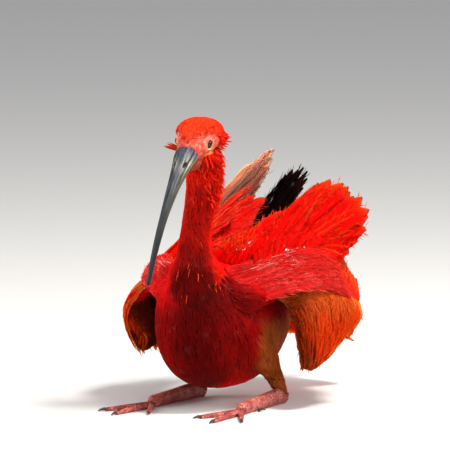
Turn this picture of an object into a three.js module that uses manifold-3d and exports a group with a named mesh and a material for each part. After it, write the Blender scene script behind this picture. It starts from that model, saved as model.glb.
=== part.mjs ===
// A scarlet ibis bathing: a still, life-size model of the bird squatting on its
// folded legs, both wings half open and held off the body, the head turned a
// little to its left and the long bill pointing down.
// Units are millimetres, +Z is up, the bird faces -Y and its left side is +X.
// The floor is z = 0.
import * as THREE from "three";
import { mergeVertices } from "three/addons/utils/BufferGeometryUtils.js";
import Module from "manifold-3d";

const wasm = await Module();
wasm.setup();

// Driving sizes.
const GAP = 0.4;
const EYE_RADIUS = 5.2;
const BILL_LENGTH = 152;
const BILL_BASE_DROP = 8;
const BILL_CURVE = 40;
const HEAD_AZIMUTH = 10;
const HEAD_PITCH = 25;
const HEAD_ROLL = 4;
const EYE_HEIGHT = 270.5;
const TARSUS_LENGTH = 92;
const NOSTRIL_PLACE = 0.11;
const MIDDLE_TOE = 60;
const VANE_THICKNESS = 0.7;
const ARM_THICKNESS = 8;
const VANE_STEP = 1.6;

const RED = 0xd8201c;
const DEEP_RED = 0xb0140f;
const ORANGE = 0xe8491f;
const HORN = 0x3c4044;
const SKIN = 0xd9776a;
const DARK = 0x120c0a;

const deg = (angle) => (angle * Math.PI) / 180;
const vec = (x, y, z) => new THREE.Vector3(x, y, z);
const mix = (a, b, t) => a + (b - a) * t;
const smooth = (t) => t * t * (3 - 2 * t);

// Repeatable random numbers between -1 and 1.
function draws(seed) {
  let state = seed;
  return () => {
    state = (state * 16807) % 2147483647;
    return (state / 2147483647) * 2 - 1;
  };
}

// Value of a list of [position, value] pairs at x, on a smooth curve.
function along(pairs, x) {
  if (x <= pairs[0][0]) return pairs[0][1];
  for (let i = 1; i < pairs.length; i += 1) {
    if (x <= pairs[i][0]) {
      const t = (x - pairs[i - 1][0]) / (pairs[i][0] - pairs[i - 1][0]);
      return mix(pairs[i - 1][1], pairs[i][1], smooth(t));
    }
  }
  return pairs[pairs.length - 1][1];
}

function geometryOf(points, triangles) {
  let volume = 0;
  for (const [a, b, c] of triangles) {
    volume += points[a].dot(points[b].clone().cross(points[c]));
  }
  const geometry = new THREE.BufferGeometry();
  const flat = [];
  for (const p of points) flat.push(p.x, p.y, p.z);
  const index = [];
  for (const [a, b, c] of triangles) {
    if (volume > 0) index.push(a, b, c);
    else index.push(a, c, b);
  }
  geometry.setAttribute("position", new THREE.Float32BufferAttribute(flat, 3));
  geometry.setIndex(index);
  return geometry;
}

// Closed skin over a row of rings, each ring a list of the same number of points.
function skinOver(rings) {
  const count = rings[0].length;
  const points = rings.flat();
  const triangles = [];
  for (let r = 0; r + 1 < rings.length; r += 1) {
    for (let i = 0; i < count; i += 1) {
      const j = (i + 1) % count;
      const a = r * count + i;
      const b = r * count + j;
      triangles.push([a, b, b + count], [a, b + count, a + count]);
    }
  }
  const centre = (ring) => {
    const sum = vec(0, 0, 0);
    for (const p of ring) sum.add(p);
    return sum.divideScalar(ring.length);
  };
  const first = points.length;
  points.push(centre(rings[0]), centre(rings[rings.length - 1]));
  const last = (rings.length - 1) * count;
  for (let i = 0; i < count; i += 1) {
    const j = (i + 1) % count;
    triangles.push([first, j, i], [first + 1, last + i, last + j]);
  }
  return geometryOf(points, triangles);
}

function solid(geometry) {
  const bare = geometry.clone();
  bare.deleteAttribute("normal");
  bare.deleteAttribute("uv");
  const merged = mergeVertices(bare, 1e-4);
  const mesh = new wasm.Mesh({
    numProp: 3,
    vertProperties: new Float32Array(merged.attributes.position.array),
    triVerts: new Uint32Array(merged.index.array),
  });
  return new wasm.Manifold(mesh);
}

function largest(shape) {
  let best = null;
  for (const piece of shape.decompose()) {
    if (!best || piece.volume() > best.volume()) best = piece;
  }
  return best;
}

// Round limb through a row of stations: [point, half width, half depth].
// The side vector gives the direction of the half width.
function limb(stations, side, sides = 12, grow = 0) {
  const rings = [];
  const count = stations.length;
  for (let s = 0; s < count; s += 1) {
    const before = stations[Math.max(0, s - 1)][0];
    const after = stations[Math.min(count - 1, s + 1)][0];
    const way = after.clone().sub(before).normalize();
    const across = side.clone().addScaledVector(way, -side.dot(way)).normalize();
    const over = way.clone().cross(across);
    const end = s === 0 ? -grow : s === count - 1 ? grow : 0;
    const middle = stations[s][0].clone().addScaledVector(way, end);
    const ring = [];
    for (let i = 0; i < sides; i += 1) {
      const a = (i / sides) * 2 * Math.PI;
      ring.push(middle.clone()
        .addScaledVector(across, (stations[s][1] + grow) * Math.cos(a))
        .addScaledVector(over, (stations[s][2] + grow) * Math.sin(a)));
    }
    rings.push(ring);
  }
  return solid(skinOver(rings));
}

// Limb with a smooth path and smooth radii, rounded at both ends.
function smoothLimb(points, widths, depths, side, options = {}) {
  const { rows = 12, sides = 12, grow = 0, blunt = 0.5 } = options;
  const path = new THREE.CatmullRomCurve3(points);
  const stations = [];
  for (let r = 0; r <= rows; r += 1) {
    const t = r / rows;
    stations.push([path.getPoint(t), along(widths, t), along(depths, t)]);
  }
  const capped = [];
  const first = stations[0];
  const last = stations[rows];
  const back = first[0].clone().sub(stations[1][0]).normalize();
  const front = last[0].clone().sub(stations[rows - 1][0]).normalize();
  for (const [reach, share] of [[1, 0.25], [0.75, 0.68]]) {
    capped.push([first[0].clone().addScaledVector(back, first[2] * blunt * reach),
      first[1] * share, first[2] * share]);
  }
  capped.push(...stations);
  for (const [reach, share] of [[0.75, 0.68], [1, 0.25]]) {
    capped.push([last[0].clone().addScaledVector(front, last[2] * blunt * reach),
      last[1] * share, last[2] * share]);
  }
  return limb(capped, side, sides, grow);
}

// Shape of one vane: [place along it, share of its full width].
const VANE_SHAPE = [[0, 0.32], [0.22, 0.84], [0.55, 1], [0.84, 0.82], [1, 0.2]];

// Blade through a row of stations. Each station is a line of spots across the
// blade, every spot with the normal of the blade there.
function blade(stations, thickness) {
  const points = [];
  const triangles = [];
  const last = stations.length - 1;
  const wide = stations[0].length;
  stations.forEach((spots, r) => {
    const half = (thickness / 2) * mix(1.2, 0.85, r / last);
    for (const up of [half, -half]) {
      for (const { spot, normal } of spots) points.push(spot.clone().addScaledVector(normal, up));
    }
  });
  const loop = [];
  for (let i = 0; i < wide; i += 1) loop.push(i);
  for (let i = wide - 1; i >= 0; i -= 1) loop.push(wide + i);
  for (let r = 0; r < last; r += 1) {
    const a = r * 2 * wide;
    const b = a + 2 * wide;
    for (let k = 0; k < 2 * wide; k += 1) {
      const p = loop[k];
      const q = loop[(k + 1) % (2 * wide)];
      const under = k >= wide && k < 2 * wide - 1;
      if (under) triangles.push([a + p, a + q, b + p], [a + q, b + q, b + p]);
      else triangles.push([a + p, a + q, b + q], [a + p, b + q, b + p]);
    }
  }
  const z = last * 2 * wide;
  for (let i = 0; i + 1 < wide; i += 1) {
    triangles.push([i, wide + i, wide + i + 1], [i, wide + i + 1, i + 1]);
    triangles.push([z + i, z + wide + i + 1, z + wide + i], [z + i, z + i + 1, z + wide + i + 1]);
  }
  return solid(geometryOf(points, triangles));
}

// Point of a smooth curve, carried on straight beyond both of its ends.
function curvePoint(path, t) {
  const kept = Math.min(1, Math.max(0, t));
  const point = path.getPoint(kept);
  if (t === kept) return point;
  const step = kept === 0 ? 0.02 : -0.02;
  const inner = path.getPoint(kept + step);
  return point.addScaledVector(inner.sub(point), (t - kept) / step);
}

// A row of overlapping vanes, with roots on one curve and tips on another. All
// vanes follow one smooth sheet between the two curves. Each climbs a little
// across its width, so that it lies over the next one like a roof tile.
function row(spec) {
  const { roots, tips, count, outward, width, bend = 4, step = VANE_STEP } = spec;
  const { share = 1, lift = 0, tipLift = lift, seed = 7, thickness = VANE_THICKNESS } = spec;
  const rootPath = new THREE.CatmullRomCurve3(roots);
  const tipPath = new THREE.CatmullRomCurve3(tips);
  const draw = draws(seed);
  const place = (t, s) => {
    const root = curvePoint(rootPath, t);
    const tip = curvePoint(tipPath, t);
    return root.lerp(tip, s).addScaledVector(outward, 4 * s * (1 - s) * bend);
  };
  const small = 0.01;
  const across = (t, s) => place(t + small, s).sub(place(t - small, s)).divideScalar(2 * small);
  const forth = (t, s) => place(t, s + small).sub(place(t, s - small)).divideScalar(2 * small);
  const facing = Math.sign(across(0.5, 0.5).cross(forth(0.5, 0.5)).dot(outward));
  const normalAt = (t, s) => across(t, s).cross(forth(t, s)).setLength(facing);
  const vanes = [];
  for (let i = 0; i < count; i += 1) {
    const t = i / (count - 1);
    const reach = share * (1 + 0.025 * draw());
    const stations = VANE_SHAPE.map(([u, part]) => {
      const s = u * reach;
      const middle = across(t, s);
      const way = forth(t, s);
      const slide = middle.dot(way) / way.lengthSq();
      const side = middle.addScaledVector(way, -slide).length();
      const turn = (width * part) / 2 / side;
      return [-1, 0, 1].map((sign) => {
        const spot = t + sign * turn;
        const along = s - sign * turn * slide;
        const normal = normalAt(spot, along);
        const level = mix(lift, tipLift, u) + step * sign * turn * (count - 1);
        return { spot: place(spot, along).addScaledVector(normal, level), normal };
      });
    });
    vanes.push(blade(stations, thickness));
  }
  return vanes;
}

// Body: cross sections [y, half width, top, bottom].
const BODY = [
  [-79, 8, 96, 76],
  [-76, 20, 112, 60],
  [-68, 34, 130, 42],
  [-54, 44, 143, 29],
  [-34, 51, 149, 21],
  [-8, 56, 150, 17],
  [20, 56, 146, 17],
  [46, 50, 139, 22],
  [72, 41, 128, 33],
  [94, 31, 114, 46],
  [110, 22, 102, 56],
  [120, 12, 93, 64],
];
function bodySolid(grow) {
  const rings = [];
  for (const [y, half, top, bottom] of BODY) {
    const waist = mix(bottom, top, 0.54);
    const ring = [];
    for (let i = 0; i < 28; i += 1) {
      const a = (i / 28) * 2 * Math.PI;
      const c = Math.cos(a);
      const s = Math.sin(a);
      const round = 0.92;
      const x = Math.sign(c) * Math.abs(c) ** round * (half + grow);
      const reach = s > 0 ? top - waist : waist - bottom;
      const z = waist + Math.sign(s) * Math.abs(s) ** round * (reach + grow);
      ring.push(vec(x, y, z));
    }
    rings.push(ring);
  }
  const stretch = (ring, by) => ring.forEach((p) => { p.y += by; });
  stretch(rings[0], -grow);
  stretch(rings[rings.length - 1], grow);
  return solid(skinOver(rings));
}

// Head frame: the origin lies midway between the eyes.
const HEAD_MIDDLE = vec(6, -60, EYE_HEIGHT);
const headForward = vec(
  Math.sin(deg(HEAD_AZIMUTH)) * Math.cos(deg(HEAD_PITCH)),
  -Math.cos(deg(HEAD_AZIMUTH)) * Math.cos(deg(HEAD_PITCH)),
  -Math.sin(deg(HEAD_PITCH)),
);
const levelLeft = vec(Math.cos(deg(HEAD_AZIMUTH)), Math.sin(deg(HEAD_AZIMUTH)), 0);
const levelUp = headForward.clone().cross(levelLeft);
const headLeft = levelLeft.clone().multiplyScalar(Math.cos(deg(HEAD_ROLL)))
  .addScaledVector(levelUp, -Math.sin(deg(HEAD_ROLL)));
const headUp = headForward.clone().cross(headLeft);
function onHead(forward, left, up) {
  return HEAD_MIDDLE.clone()
    .addScaledVector(headForward, forward)
    .addScaledVector(headLeft, left)
    .addScaledVector(headUp, up);
}

// Head: cross sections [forward, half width, up, down].
const HEAD = [
  [-39, 8, 5.5, 8],
  [-36, 16.5, 9.2, 16.5],
  [-29, 23, 12.4, 21.5],
  [-18, 25, 14.4, 22],
  [-7, 21.8, 14.8, 20.5],
  [3, 17.5, 14.4, 18],
  [12, 15, 12.8, 16],
  [19, 12.8, 10.6, 14.2],
  [25, 11.4, 8.8, 12.6],
];
function headSolid(grow) {
  const rings = [];
  for (let r = 0; r < HEAD.length; r += 1) {
    const [forward, half, up, down] = HEAD[r];
    const end = r === 0 ? -grow : r === HEAD.length - 1 ? grow : 0;
    const ring = [];
    for (let i = 0; i < 20; i += 1) {
      const a = (i / 20) * 2 * Math.PI;
      const s = Math.sin(a);
      ring.push(onHead(forward + end, Math.cos(a) * (half + grow), s * ((s > 0 ? up : down) + grow)));
    }
    rings.push(ring);
  }
  return solid(skinOver(rings));
}

// Bill: a curved line between the two mandibles, with the sizes along it.
const BILL_START = 25;
function billLine(t) {
  const turn = deg(BILL_CURVE);
  const start = deg(BILL_BASE_DROP);
  const radius = BILL_LENGTH / turn;
  const angle = start + turn * t;
  return {
    forward: BILL_START + radius * (Math.sin(angle) - Math.sin(start)),
    up: -3 - radius * (Math.cos(start) - Math.cos(angle)),
    angle,
  };
}
const BILL_HALF = [[0, 10.6], [0.1, 8.8], [0.25, 6.6], [0.5, 4.6], [0.8, 3.5], [1, 2.6]];
const BILL_RISE = [[0, 10.6], [0.1, 8.4], [0.25, 6], [0.5, 4.2], [0.8, 3.1], [1, 1.6]];
const BILL_DROP = [[0, 9], [0.1, 7.2], [0.25, 5], [0.5, 3.4], [0.8, 2.6], [1, 1.3]];
function mandible(upper, grow = 0) {
  const rings = [];
  const rows = 16;
  const sign = upper ? 1 : -1;
  for (let r = 0; r <= rows; r += 1) {
    const t = r / rows;
    const line = billLine(t);
    const half = along(BILL_HALF, t) * (upper ? 1 : 0.9) + grow;
    const reach = along(upper ? BILL_RISE : BILL_DROP, t) + grow;
    const seam = 0.15 - grow;
    const normal = vec(Math.sin(line.angle), 0, Math.cos(line.angle));
    const ring = [];
    for (let i = 0; i < 9; i += 1) {
      const a = (i / 8) * Math.PI;
      const height = sign * (seam + Math.sin(a) * (reach - seam));
      ring.push(onHead(
        line.forward + normal.x * height,
        Math.cos(a) * half,
        line.up + normal.z * height,
      ));
    }
    rings.push(ring);
  }
  return solid(skinOver(rings));
}

function ball(middle, radius, segments = 12) {
  const geometry = new THREE.SphereGeometry(radius, segments, Math.round(segments * 0.7));
  geometry.translate(middle.x, middle.y, middle.z);
  return solid(geometry);
}

const nodes = [];
function add(name, shape, colour) {
  nodes.push({ name, shape: largest(shape.simplify(0.03)), colour });
}

const torso = bodySolid(0);
const torsoClear = bodySolid(GAP);
const head = headSolid(0);
const headClear = headSolid(GAP);

// Neck.
const NECK_POINTS = [
  vec(0, -40, 108), vec(0, -46, 136), vec(0, -45, 160), vec(1, -42, 184),
  vec(3, -39, 206), vec(5, -40, 230), vec(6, -47, 258),
];
const NECK_WIDTH = [[0, 38], [0.2, 27], [0.34, 17.4], [0.5, 15], [0.72, 15.6], [1, 17]];
const neckWhole = smoothLimb(NECK_POINTS, NECK_WIDTH, NECK_WIDTH, vec(1, 0, 0),
  { rows: 11, sides: 16 });
const neckClear = smoothLimb(NECK_POINTS, NECK_WIDTH, NECK_WIDTH, vec(1, 0, 0),
  { rows: 11, sides: 16, grow: GAP });
const neck = neckWhole.subtract(torsoClear).subtract(headClear);

// Eyes and lids.
const eyeAt = (side) => onHead(0, side * 14.1, 0);
const eyes = [ball(eyeAt(1), EYE_RADIUS), ball(eyeAt(-1), EYE_RADIUS)];
// Lids: a low round swelling over the eye, with an oval opening cut in it.
function lidOpening(side) {
  const geometry = new THREE.SphereGeometry(1, 14, 9);
  geometry.scale(4.5, 5.2, 4.3);
  geometry.applyMatrix4(new THREE.Matrix4().makeBasis(headForward, headLeft, headUp));
  const middle = onHead(0, side * 20.6, 0);
  geometry.translate(middle.x, middle.y, middle.z);
  return solid(geometry);
}
const lidAt = (side) => ball(onHead(0.2, side * 13.3, 0.1), EYE_RADIUS + 1.7, 14);
let headFinal = head.add(lidAt(1)).add(lidAt(-1));
for (const side of [1, -1]) headFinal = headFinal.subtract(lidOpening(side));
for (const side of [1, -1]) headFinal = headFinal.subtract(ball(eyeAt(side), EYE_RADIUS + GAP));

// Nostrils: a slit on each side of the upper ridge, near the face.
function nostril(side) {
  const t = NOSTRIL_PLACE;
  const line = billLine(t);
  const geometry = new THREE.SphereGeometry(1, 10, 6);
  geometry.scale(4.6, 1.5, 0.9);
  geometry.applyMatrix4(new THREE.Matrix4().makeBasis(headForward, headLeft, headUp));
  const spot = onHead(
    line.forward + Math.sin(line.angle) * along(BILL_RISE, t) * 0.76,
    side * along(BILL_HALF, t) * 0.68,
    line.up + Math.cos(line.angle) * along(BILL_RISE, t) * 0.76,
  );
  geometry.translate(spot.x, spot.y, spot.z);
  return solid(geometry);
}
const billUpper = mandible(true).subtract(headClear).subtract(nostril(1)).subtract(nostril(-1));
const billLower = mandible(false).subtract(headClear);

// Wings. All places are [outward, back, up], from the midline. The lead and the
// trail are the front and rear edges of the feathered arm, from the shoulder over
// the elbow to the wrist; each row of tips runs the same way, or from the wrist to
// the end of the hand.
const WINGS = {
  left: {
    side: 1,
    lead: [[38, -34, 120], [60, -6, 117], [76, 11, 104], [83, 10, 84], [90, 6, 44]],
    trail: [[46, -6, 142], [66, 26, 157], [84, 50, 154], [93, 52, 112], [93, 38, 58]],
    wrist: [92, 18, 50],
    hand: [88, 74, 54],
    tertials: [[34, 66, 176], [39, 98, 191], [46, 124, 203], [56, 142, 209], [69, 150, 205],
      [79, 149, 194], [84, 144, 180]],
    tertialLift: 4,
    cape: [[72, -6, 117], [93, 22, 112], [108, 54, 110], [116, 82, 110]],
    coverts: [[117, 84, 102], [118, 78, 88], [112, 70, 74], [106, 62, 62]],
    secondaries: [[68, 138, 168], [60, 140, 153], [56, 141, 138], [58, 142, 124],
      [66, 138, 112]],
    primaries: [[25, 131, 126], [13, 168, 138], [5, 200, 148], [1, 216, 152], [0, 227, 149]],
  },
  right: {
    side: -1,
    lead: [[38, -34, 120], [64, -12, 118], [88, -2, 106], [101, -2, 88], [91, -4, 55]],
    trail: [[44, -6, 140], [60, 24, 143], [77, 46, 139], [100, 42, 113], [95, 28, 68]],
    wrist: [92, 10, 58],
    hand: [94, 66, 66],
    tertials: [[2, 34, 196], [6, 50, 206], [10, 66, 212], [14, 86, 210], [20, 106, 206]],
    tertialLift: -4,
    cape: [[74, -10, 116], [94, 16, 111], [109, 46, 108], [115, 76, 108]],
    coverts: [[113, 80, 100], [115, 74, 88], [112, 66, 78], [108, 58, 70]],
    secondaries: [[20, 144, 240], [24, 148, 223], [31, 149, 205], [40, 144, 187],
      [52, 136, 168], [64, 126, 152]],
    primaries: [[42, 124, 164], [30, 164, 188], [22, 188, 204], [16, 204, 212], [13, 216, 211],
      [12, 224, 204]],
  },
};
function wingNodes(name) {
  const plan = WINGS[name];
  const { side } = plan;
  const at = (p) => vec(side * p[0], p[1], p[2]);
  const W = at(plan.wrist);
  const H = at(plan.hand);
  const out = vec(side, 0, 0.2);
  const lead = new THREE.CatmullRomCurve3(plan.lead.map(at));
  const trail = new THREE.CatmullRomCurve3(plan.trail.map(at));
  // Point of the arm: k from the shoulder to the wrist, c from its front to its rear.
  const onArm = (k, c) => lead.getPoint(k).lerp(trail.getPoint(k), c);
  const arm = (grow) => limb([0, 0.07, 0.2, 0.34, 0.46, 0.58, 0.7, 0.82, 0.94, 1].map((k) => {
    const closed = k === 0 || k === 1 ? 0.55 : 1;
    return [
      onArm(k, 0.5),
      (lead.getPoint(k).distanceTo(trail.getPoint(k)) / 2) * closed,
      ARM_THICKNESS * closed,
    ];
  }), trail.getPoint(0.5).sub(lead.getPoint(0.5)), 12, grow);
  const palm = smoothLimb([W, W.clone().lerp(H, 0.5), H],
    [[0, 7], [0.5, 6.5], [1, 4]], [[0, 12], [0.5, 9], [1, 5]], out, { rows: 6, sides: 10 });
  const feathers = (roots, tips, extra) => row({ roots, tips: tips.map(at), outward: out, ...extra });
  const span = (from, to, c) => [0, 0.33, 0.67, 1].map((t) => onArm(mix(from, to, t), c));
  const upward = vec(side * 0.35, -0.35, 0.87);
  const sideways = vec(side * 0.92, -0.25, 0.3);
  const elbowRoots = span(0.06, 0.46, 0.72);
  const forearmRoots = span(0.5, 0.86, 0.74);
  const capeRoots = span(0.08, 0.44, 0.55);
  const covertRoots = span(0.52, 0.9, 0.45);
  const rows = [
    feathers(elbowRoots, plan.tertials, { count: 7, width: 29, outward: upward, bend: 5, lift: plan.tertialLift,
        tipLift: plan.tertialLift * 1.6 }),
    feathers(capeRoots, plan.cape,
      { count: 6, width: 27, outward: vec(side * 0.5, -0.3, 0.8), bend: 8, lift: 2, tipLift: 5 }),
    feathers(covertRoots, plan.coverts, { count: 6, width: 24, outward: sideways, bend: 5, seed: 5 }),
    feathers(forearmRoots, plan.secondaries,
      { count: 8, width: 28, bend: 5, step: 2.1, seed: 11 }),
  ];
  let inner = arm(0);
  for (const part of rows.flat()) inner = inner.add(part);
  inner = inner.subtract(torsoClear);
  let outer = palm;
  const palmRoots = [0.16, 0.58, 1].map((t) => W.clone().lerp(H, t).add(vec(0, 0, 1)));
  const handRows = [
    feathers(palmRoots, plan.primaries,
      { count: 10, width: 22, bend: -5, step: 1.3, seed: 19 }),
    feathers(palmRoots, plan.primaries,
      { count: 6, width: 19, bend: -5, step: 1.3, share: 0.36, lift: 5.5, tipLift: 9, seed: 23 }),
  ];
  for (const part of handRows.flat()) outer = outer.add(part);
  outer = outer.subtract(arm(GAP));
  return { inner, outer };
}

// Tail: twelve feathers in a fan, the middle pair on top, with coverts over them.
const TAIL_ROOT = vec(0, 112, 82);
const TAIL_TIP = vec(0, 206, 50);
function tailSolid() {
  const way = TAIL_TIP.clone().sub(TAIL_ROOT);
  const over = vec(1, 0, 0).cross(way).normalize();
  let tail = smoothLimb([TAIL_ROOT, TAIL_ROOT.clone().addScaledVector(way, 0.16),
    TAIL_ROOT.clone().addScaledVector(way, 0.32)],
  [[0, 20], [0.5, 17], [1, 12]], [[0, 13], [0.5, 11], [1, 6]], vec(1, 0, 0), { rows: 5 });
  const tiers = [[6, 1, 0, 23], [3, 0.5, 7, 20]];
  for (const [count, share, lift, width] of tiers) {
    for (let i = 0; i < count; i += 1) {
      for (const side of [1, -1]) {
        const spread = (i + 0.5) / 6;
        const level = lift - (i + (side > 0 ? 0 : 0.5)) * 1.15;
        const root = TAIL_ROOT.clone().addScaledVector(way, 0.1)
          .add(vec(side * spread * 9, 0, 0)).addScaledVector(over, level);
        const tip = TAIL_ROOT.clone().addScaledVector(way, share * (1 - 0.07 * spread ** 2))
          .add(vec(side * spread * 46 * share, 0, 0)).addScaledVector(over, level - 3 * share);
        const stations = VANE_SHAPE.map(([u, part]) => {
          const spot = root.clone().lerp(tip, u).addScaledVector(over, 10 * u * (1 - u));
          return [-1, 1].map((e) => ({
            spot: spot.clone().add(vec((e * width * part) / 2, 0, 0)),
            normal: over,
          }));
        });
        tail = tail.add(blade(stations, VANE_THICKNESS));
      }
    }
  }
  return tail;
}

// Legs: folded under the body, the tarsi and toes flat on the floor.
const FLOOR_CUT = solid(new THREE.BoxGeometry(900, 900, 100).translate(0, 0, -50));
// Toes: [length, turn in degrees outward, base radius, height of the base].
const TOES = {
  middle: [MIDDLE_TOE, 4, 3.7],
  outer: [50, 30, 3.4],
  inner: [46, -26, 3.4],
  hind: [26, 168, 3.1],
};
function legNodes(side) {
  const knee = vec(side * 36, -30, 88);
  const ankle = vec(side * 47, 48, 9);
  const foot = vec(side * 51, 48 - TARSUS_LENGTH, 6);
  const across = vec(1, 0, 0);
  const shin = (grow) => smoothLimb([knee, knee.clone().lerp(ankle, 0.55).add(vec(0, 4, 4)), ankle],
    [[0, 17], [0.35, 16], [0.75, 9], [1, 5.6]], [[0, 26], [0.35, 22], [0.75, 10], [1, 6]],
    across, { rows: 8, sides: 12, grow });
  const tarsus = (grow) => smoothLimb([ankle, ankle.clone().lerp(foot, 0.5), foot],
    [[0, 5.8], [0.2, 4.4], [0.8, 4.2], [1, 6]], [[0, 9.6], [0.2, 8.4], [0.8, 6.8], [1, 6.4]],
    across, { rows: 5, sides: 10, grow });
  let toes = null;
  const claws = [];
  for (const [label, [length, turn, radius]] of Object.entries(TOES)) {
    const way = vec(side * Math.sin(deg(turn)), -Math.cos(deg(turn)), 0);
    const start = foot.clone().setZ(3.4).addScaledVector(way, label === "hind" ? 1 : 3);
    const points = [0, 0.25, 0.5, 0.75, 1].map((t) => start.clone()
      .addScaledVector(way, length * t).setZ(mix(radius, 2, t) * 0.92 + Math.sin(t * 9.4) * 0.25));
    const sizes = [[0, radius], [0.5, radius * 0.86], [1, radius * 0.62]];
    const toe = smoothLimb(points, sizes, sizes, vec(0, 0, 1), { rows: 3, sides: 6 });
    toes = toes ? toes.add(toe) : toe;
    const tip = points[4];
    const horn = (grow) => limb([
      [tip.clone().addScaledVector(way, -1.5 - grow), 1.7 + grow, 1.5 + grow],
      [tip.clone().addScaledVector(way, 2.5).setZ(2.7), 1.6 + grow, 1.3 + grow],
      [tip.clone().addScaledVector(way, 6).setZ(2.1), 1.1 + grow, 0.9 + grow],
      [tip.clone().addScaledVector(way, 9).setZ(1.2), 0.5 + grow, 0.45 + grow],
    ], vec(0, 0, 1), 8);
    claws.push([label, horn]);
  }
  return { shin, tarsus, toes, claws };
}

const group = new THREE.Group();
const tailWhole = tailSolid();
add("torso", torso, RED);
add("head", headFinal, RED);
add("neck", neck, DEEP_RED);
add("bill_upper", billUpper, HORN);
add("bill_lower", billLower, HORN);
add("eye_left", eyes[0], DARK);
add("eye_right", eyes[1], DARK);
add("tail", tailWhole.subtract(torsoClear), RED);
for (const name of ["left", "right"]) {
  const { inner, outer } = wingNodes(name);
  add(`wing_${name}`, inner.subtract(neckClear), RED);
  add(`hand_${name}`, outer, ORANGE);
  const side = name === "left" ? 1 : -1;
  const leg = legNodes(side);
  add(`thigh_${name}`, leg.shin(0).subtract(torsoClear).subtract(FLOOR_CUT), DEEP_RED);
  const tarsus = leg.tarsus(0).subtract(leg.shin(GAP)).subtract(FLOOR_CUT);
  add(`tarsus_${name}`, tarsus, SKIN);
  let toes = leg.toes.subtract(leg.tarsus(GAP)).subtract(FLOOR_CUT);
  for (const [label, horn] of leg.claws) {
    toes = toes.subtract(horn(0.3));
    add(`claw_${name}_${label}`, horn(0).subtract(FLOOR_CUT), HORN);
  }
  add(`toes_${name}`, toes, SKIN);
}

// The middle of the whole bird's box stands over the origin.
const box = new THREE.Box3();
for (const { shape } of nodes) {
  const { min, max } = shape.boundingBox();
  box.expandByPoint(vec(...min)).expandByPoint(vec(...max));
}
const middle = box.getCenter(vec(0, 0, 0)).setZ(0);
for (const { name, shape, colour } of nodes) {
  const data = shape.translate([-middle.x, -middle.y, 0]).getMesh();
  const geometry = new THREE.BufferGeometry();
  geometry.setAttribute("position", new THREE.BufferAttribute(data.vertProperties, 3));
  geometry.setIndex(new THREE.BufferAttribute(data.triVerts, 1));
  geometry.computeVertexNormals();
  const mesh = new THREE.Mesh(geometry, new THREE.MeshStandardMaterial({
    color: colour,
    roughness: 0.7,
    flatShading: true,
  }));
  mesh.name = name;
  group.add(mesh);
}
export default group;
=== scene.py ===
# %% [markdown]
# This lesson dresses the solid parts of a squatting scarlet ibis as the living bird
# looks: one skin under wet feathers, flight feathers as thin ribbed blades, a horn
# bill, wet eyes and scaly legs. The solids come in as the fixed frame, and every new
# piece is made in the same place and rides on it. The camera comes first, because
# every later choice is judged through it.

import math

import bmesh
import bpy
import numpy as np
from mathutils import Matrix, Vector, noise
from mathutils.bvhtree import BVHTree
from mathutils.kdtree import KDTree


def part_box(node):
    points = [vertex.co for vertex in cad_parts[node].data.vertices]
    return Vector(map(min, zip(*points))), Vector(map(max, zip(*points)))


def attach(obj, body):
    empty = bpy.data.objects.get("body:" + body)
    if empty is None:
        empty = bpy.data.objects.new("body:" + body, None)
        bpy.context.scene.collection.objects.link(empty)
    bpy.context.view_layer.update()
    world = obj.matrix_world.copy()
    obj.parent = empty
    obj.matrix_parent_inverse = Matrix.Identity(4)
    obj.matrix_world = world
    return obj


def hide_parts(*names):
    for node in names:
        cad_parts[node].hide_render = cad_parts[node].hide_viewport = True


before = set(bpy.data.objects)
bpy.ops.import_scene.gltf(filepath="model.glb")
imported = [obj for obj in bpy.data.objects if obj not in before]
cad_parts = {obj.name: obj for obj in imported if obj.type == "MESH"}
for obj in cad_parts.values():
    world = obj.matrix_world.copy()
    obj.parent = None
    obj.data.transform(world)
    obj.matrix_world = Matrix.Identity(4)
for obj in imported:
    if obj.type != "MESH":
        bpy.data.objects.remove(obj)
bpy.context.view_layer.update()

AZIMUTH = math.radians(30)
ELEVATION = math.radians(7)
CAMERA_DISTANCE = 8.0
FRAME_WIDTH = 0.45
view_right = Vector((math.cos(AZIMUTH), math.sin(AZIMUTH), 0))
view_back = Vector((
    math.sin(AZIMUTH) * math.cos(ELEVATION),
    -math.cos(AZIMUTH) * math.cos(ELEVATION),
    math.sin(ELEVATION),
))
view_up = view_back.cross(view_right)
camera = bpy.data.objects.new("camera", bpy.data.cameras.new("camera"))
camera.data.sensor_width = 36
camera.data.lens = 36 * CAMERA_DISTANCE / FRAME_WIDTH
camera.matrix_world = Matrix.Translation(
    view_right * -0.0092 + view_up * 0.177 + view_back * CAMERA_DISTANCE
) @ Matrix((view_right, view_up, view_back)).transposed().to_4x4()
bpy.context.scene.collection.objects.link(camera)
bpy.context.scene.camera = camera
bpy.context.scene.view_settings.view_transform = "Standard"

# %% [markdown]
# The bird's body is described once, in millimetres, by the same named sizes as the
# solids. The head is turned, tipped and rolled, so it has a small frame of its own:
# forward, left and up. Turned objects could do this, but plain vectors can be used in
# every later sum.

# %% Plan of the bird and frame of the head
# a fixed seed makes the slow noise the same in every run
noise.seed_set(20)
HEAD_AZIMUTH = math.radians(10)
HEAD_PITCH = math.radians(25)
HEAD_ROLL = math.radians(4)
HEAD_MIDDLE = np.array([6, -60, 270.5])
EYE_OUT = 14.1


def unit(v):
    v = np.asarray(v, float)
    return v / np.maximum(np.linalg.norm(v, axis=-1, keepdims=True), 1e-9)


def mix(a, b, t):
    return a + (b - a) * t


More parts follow.
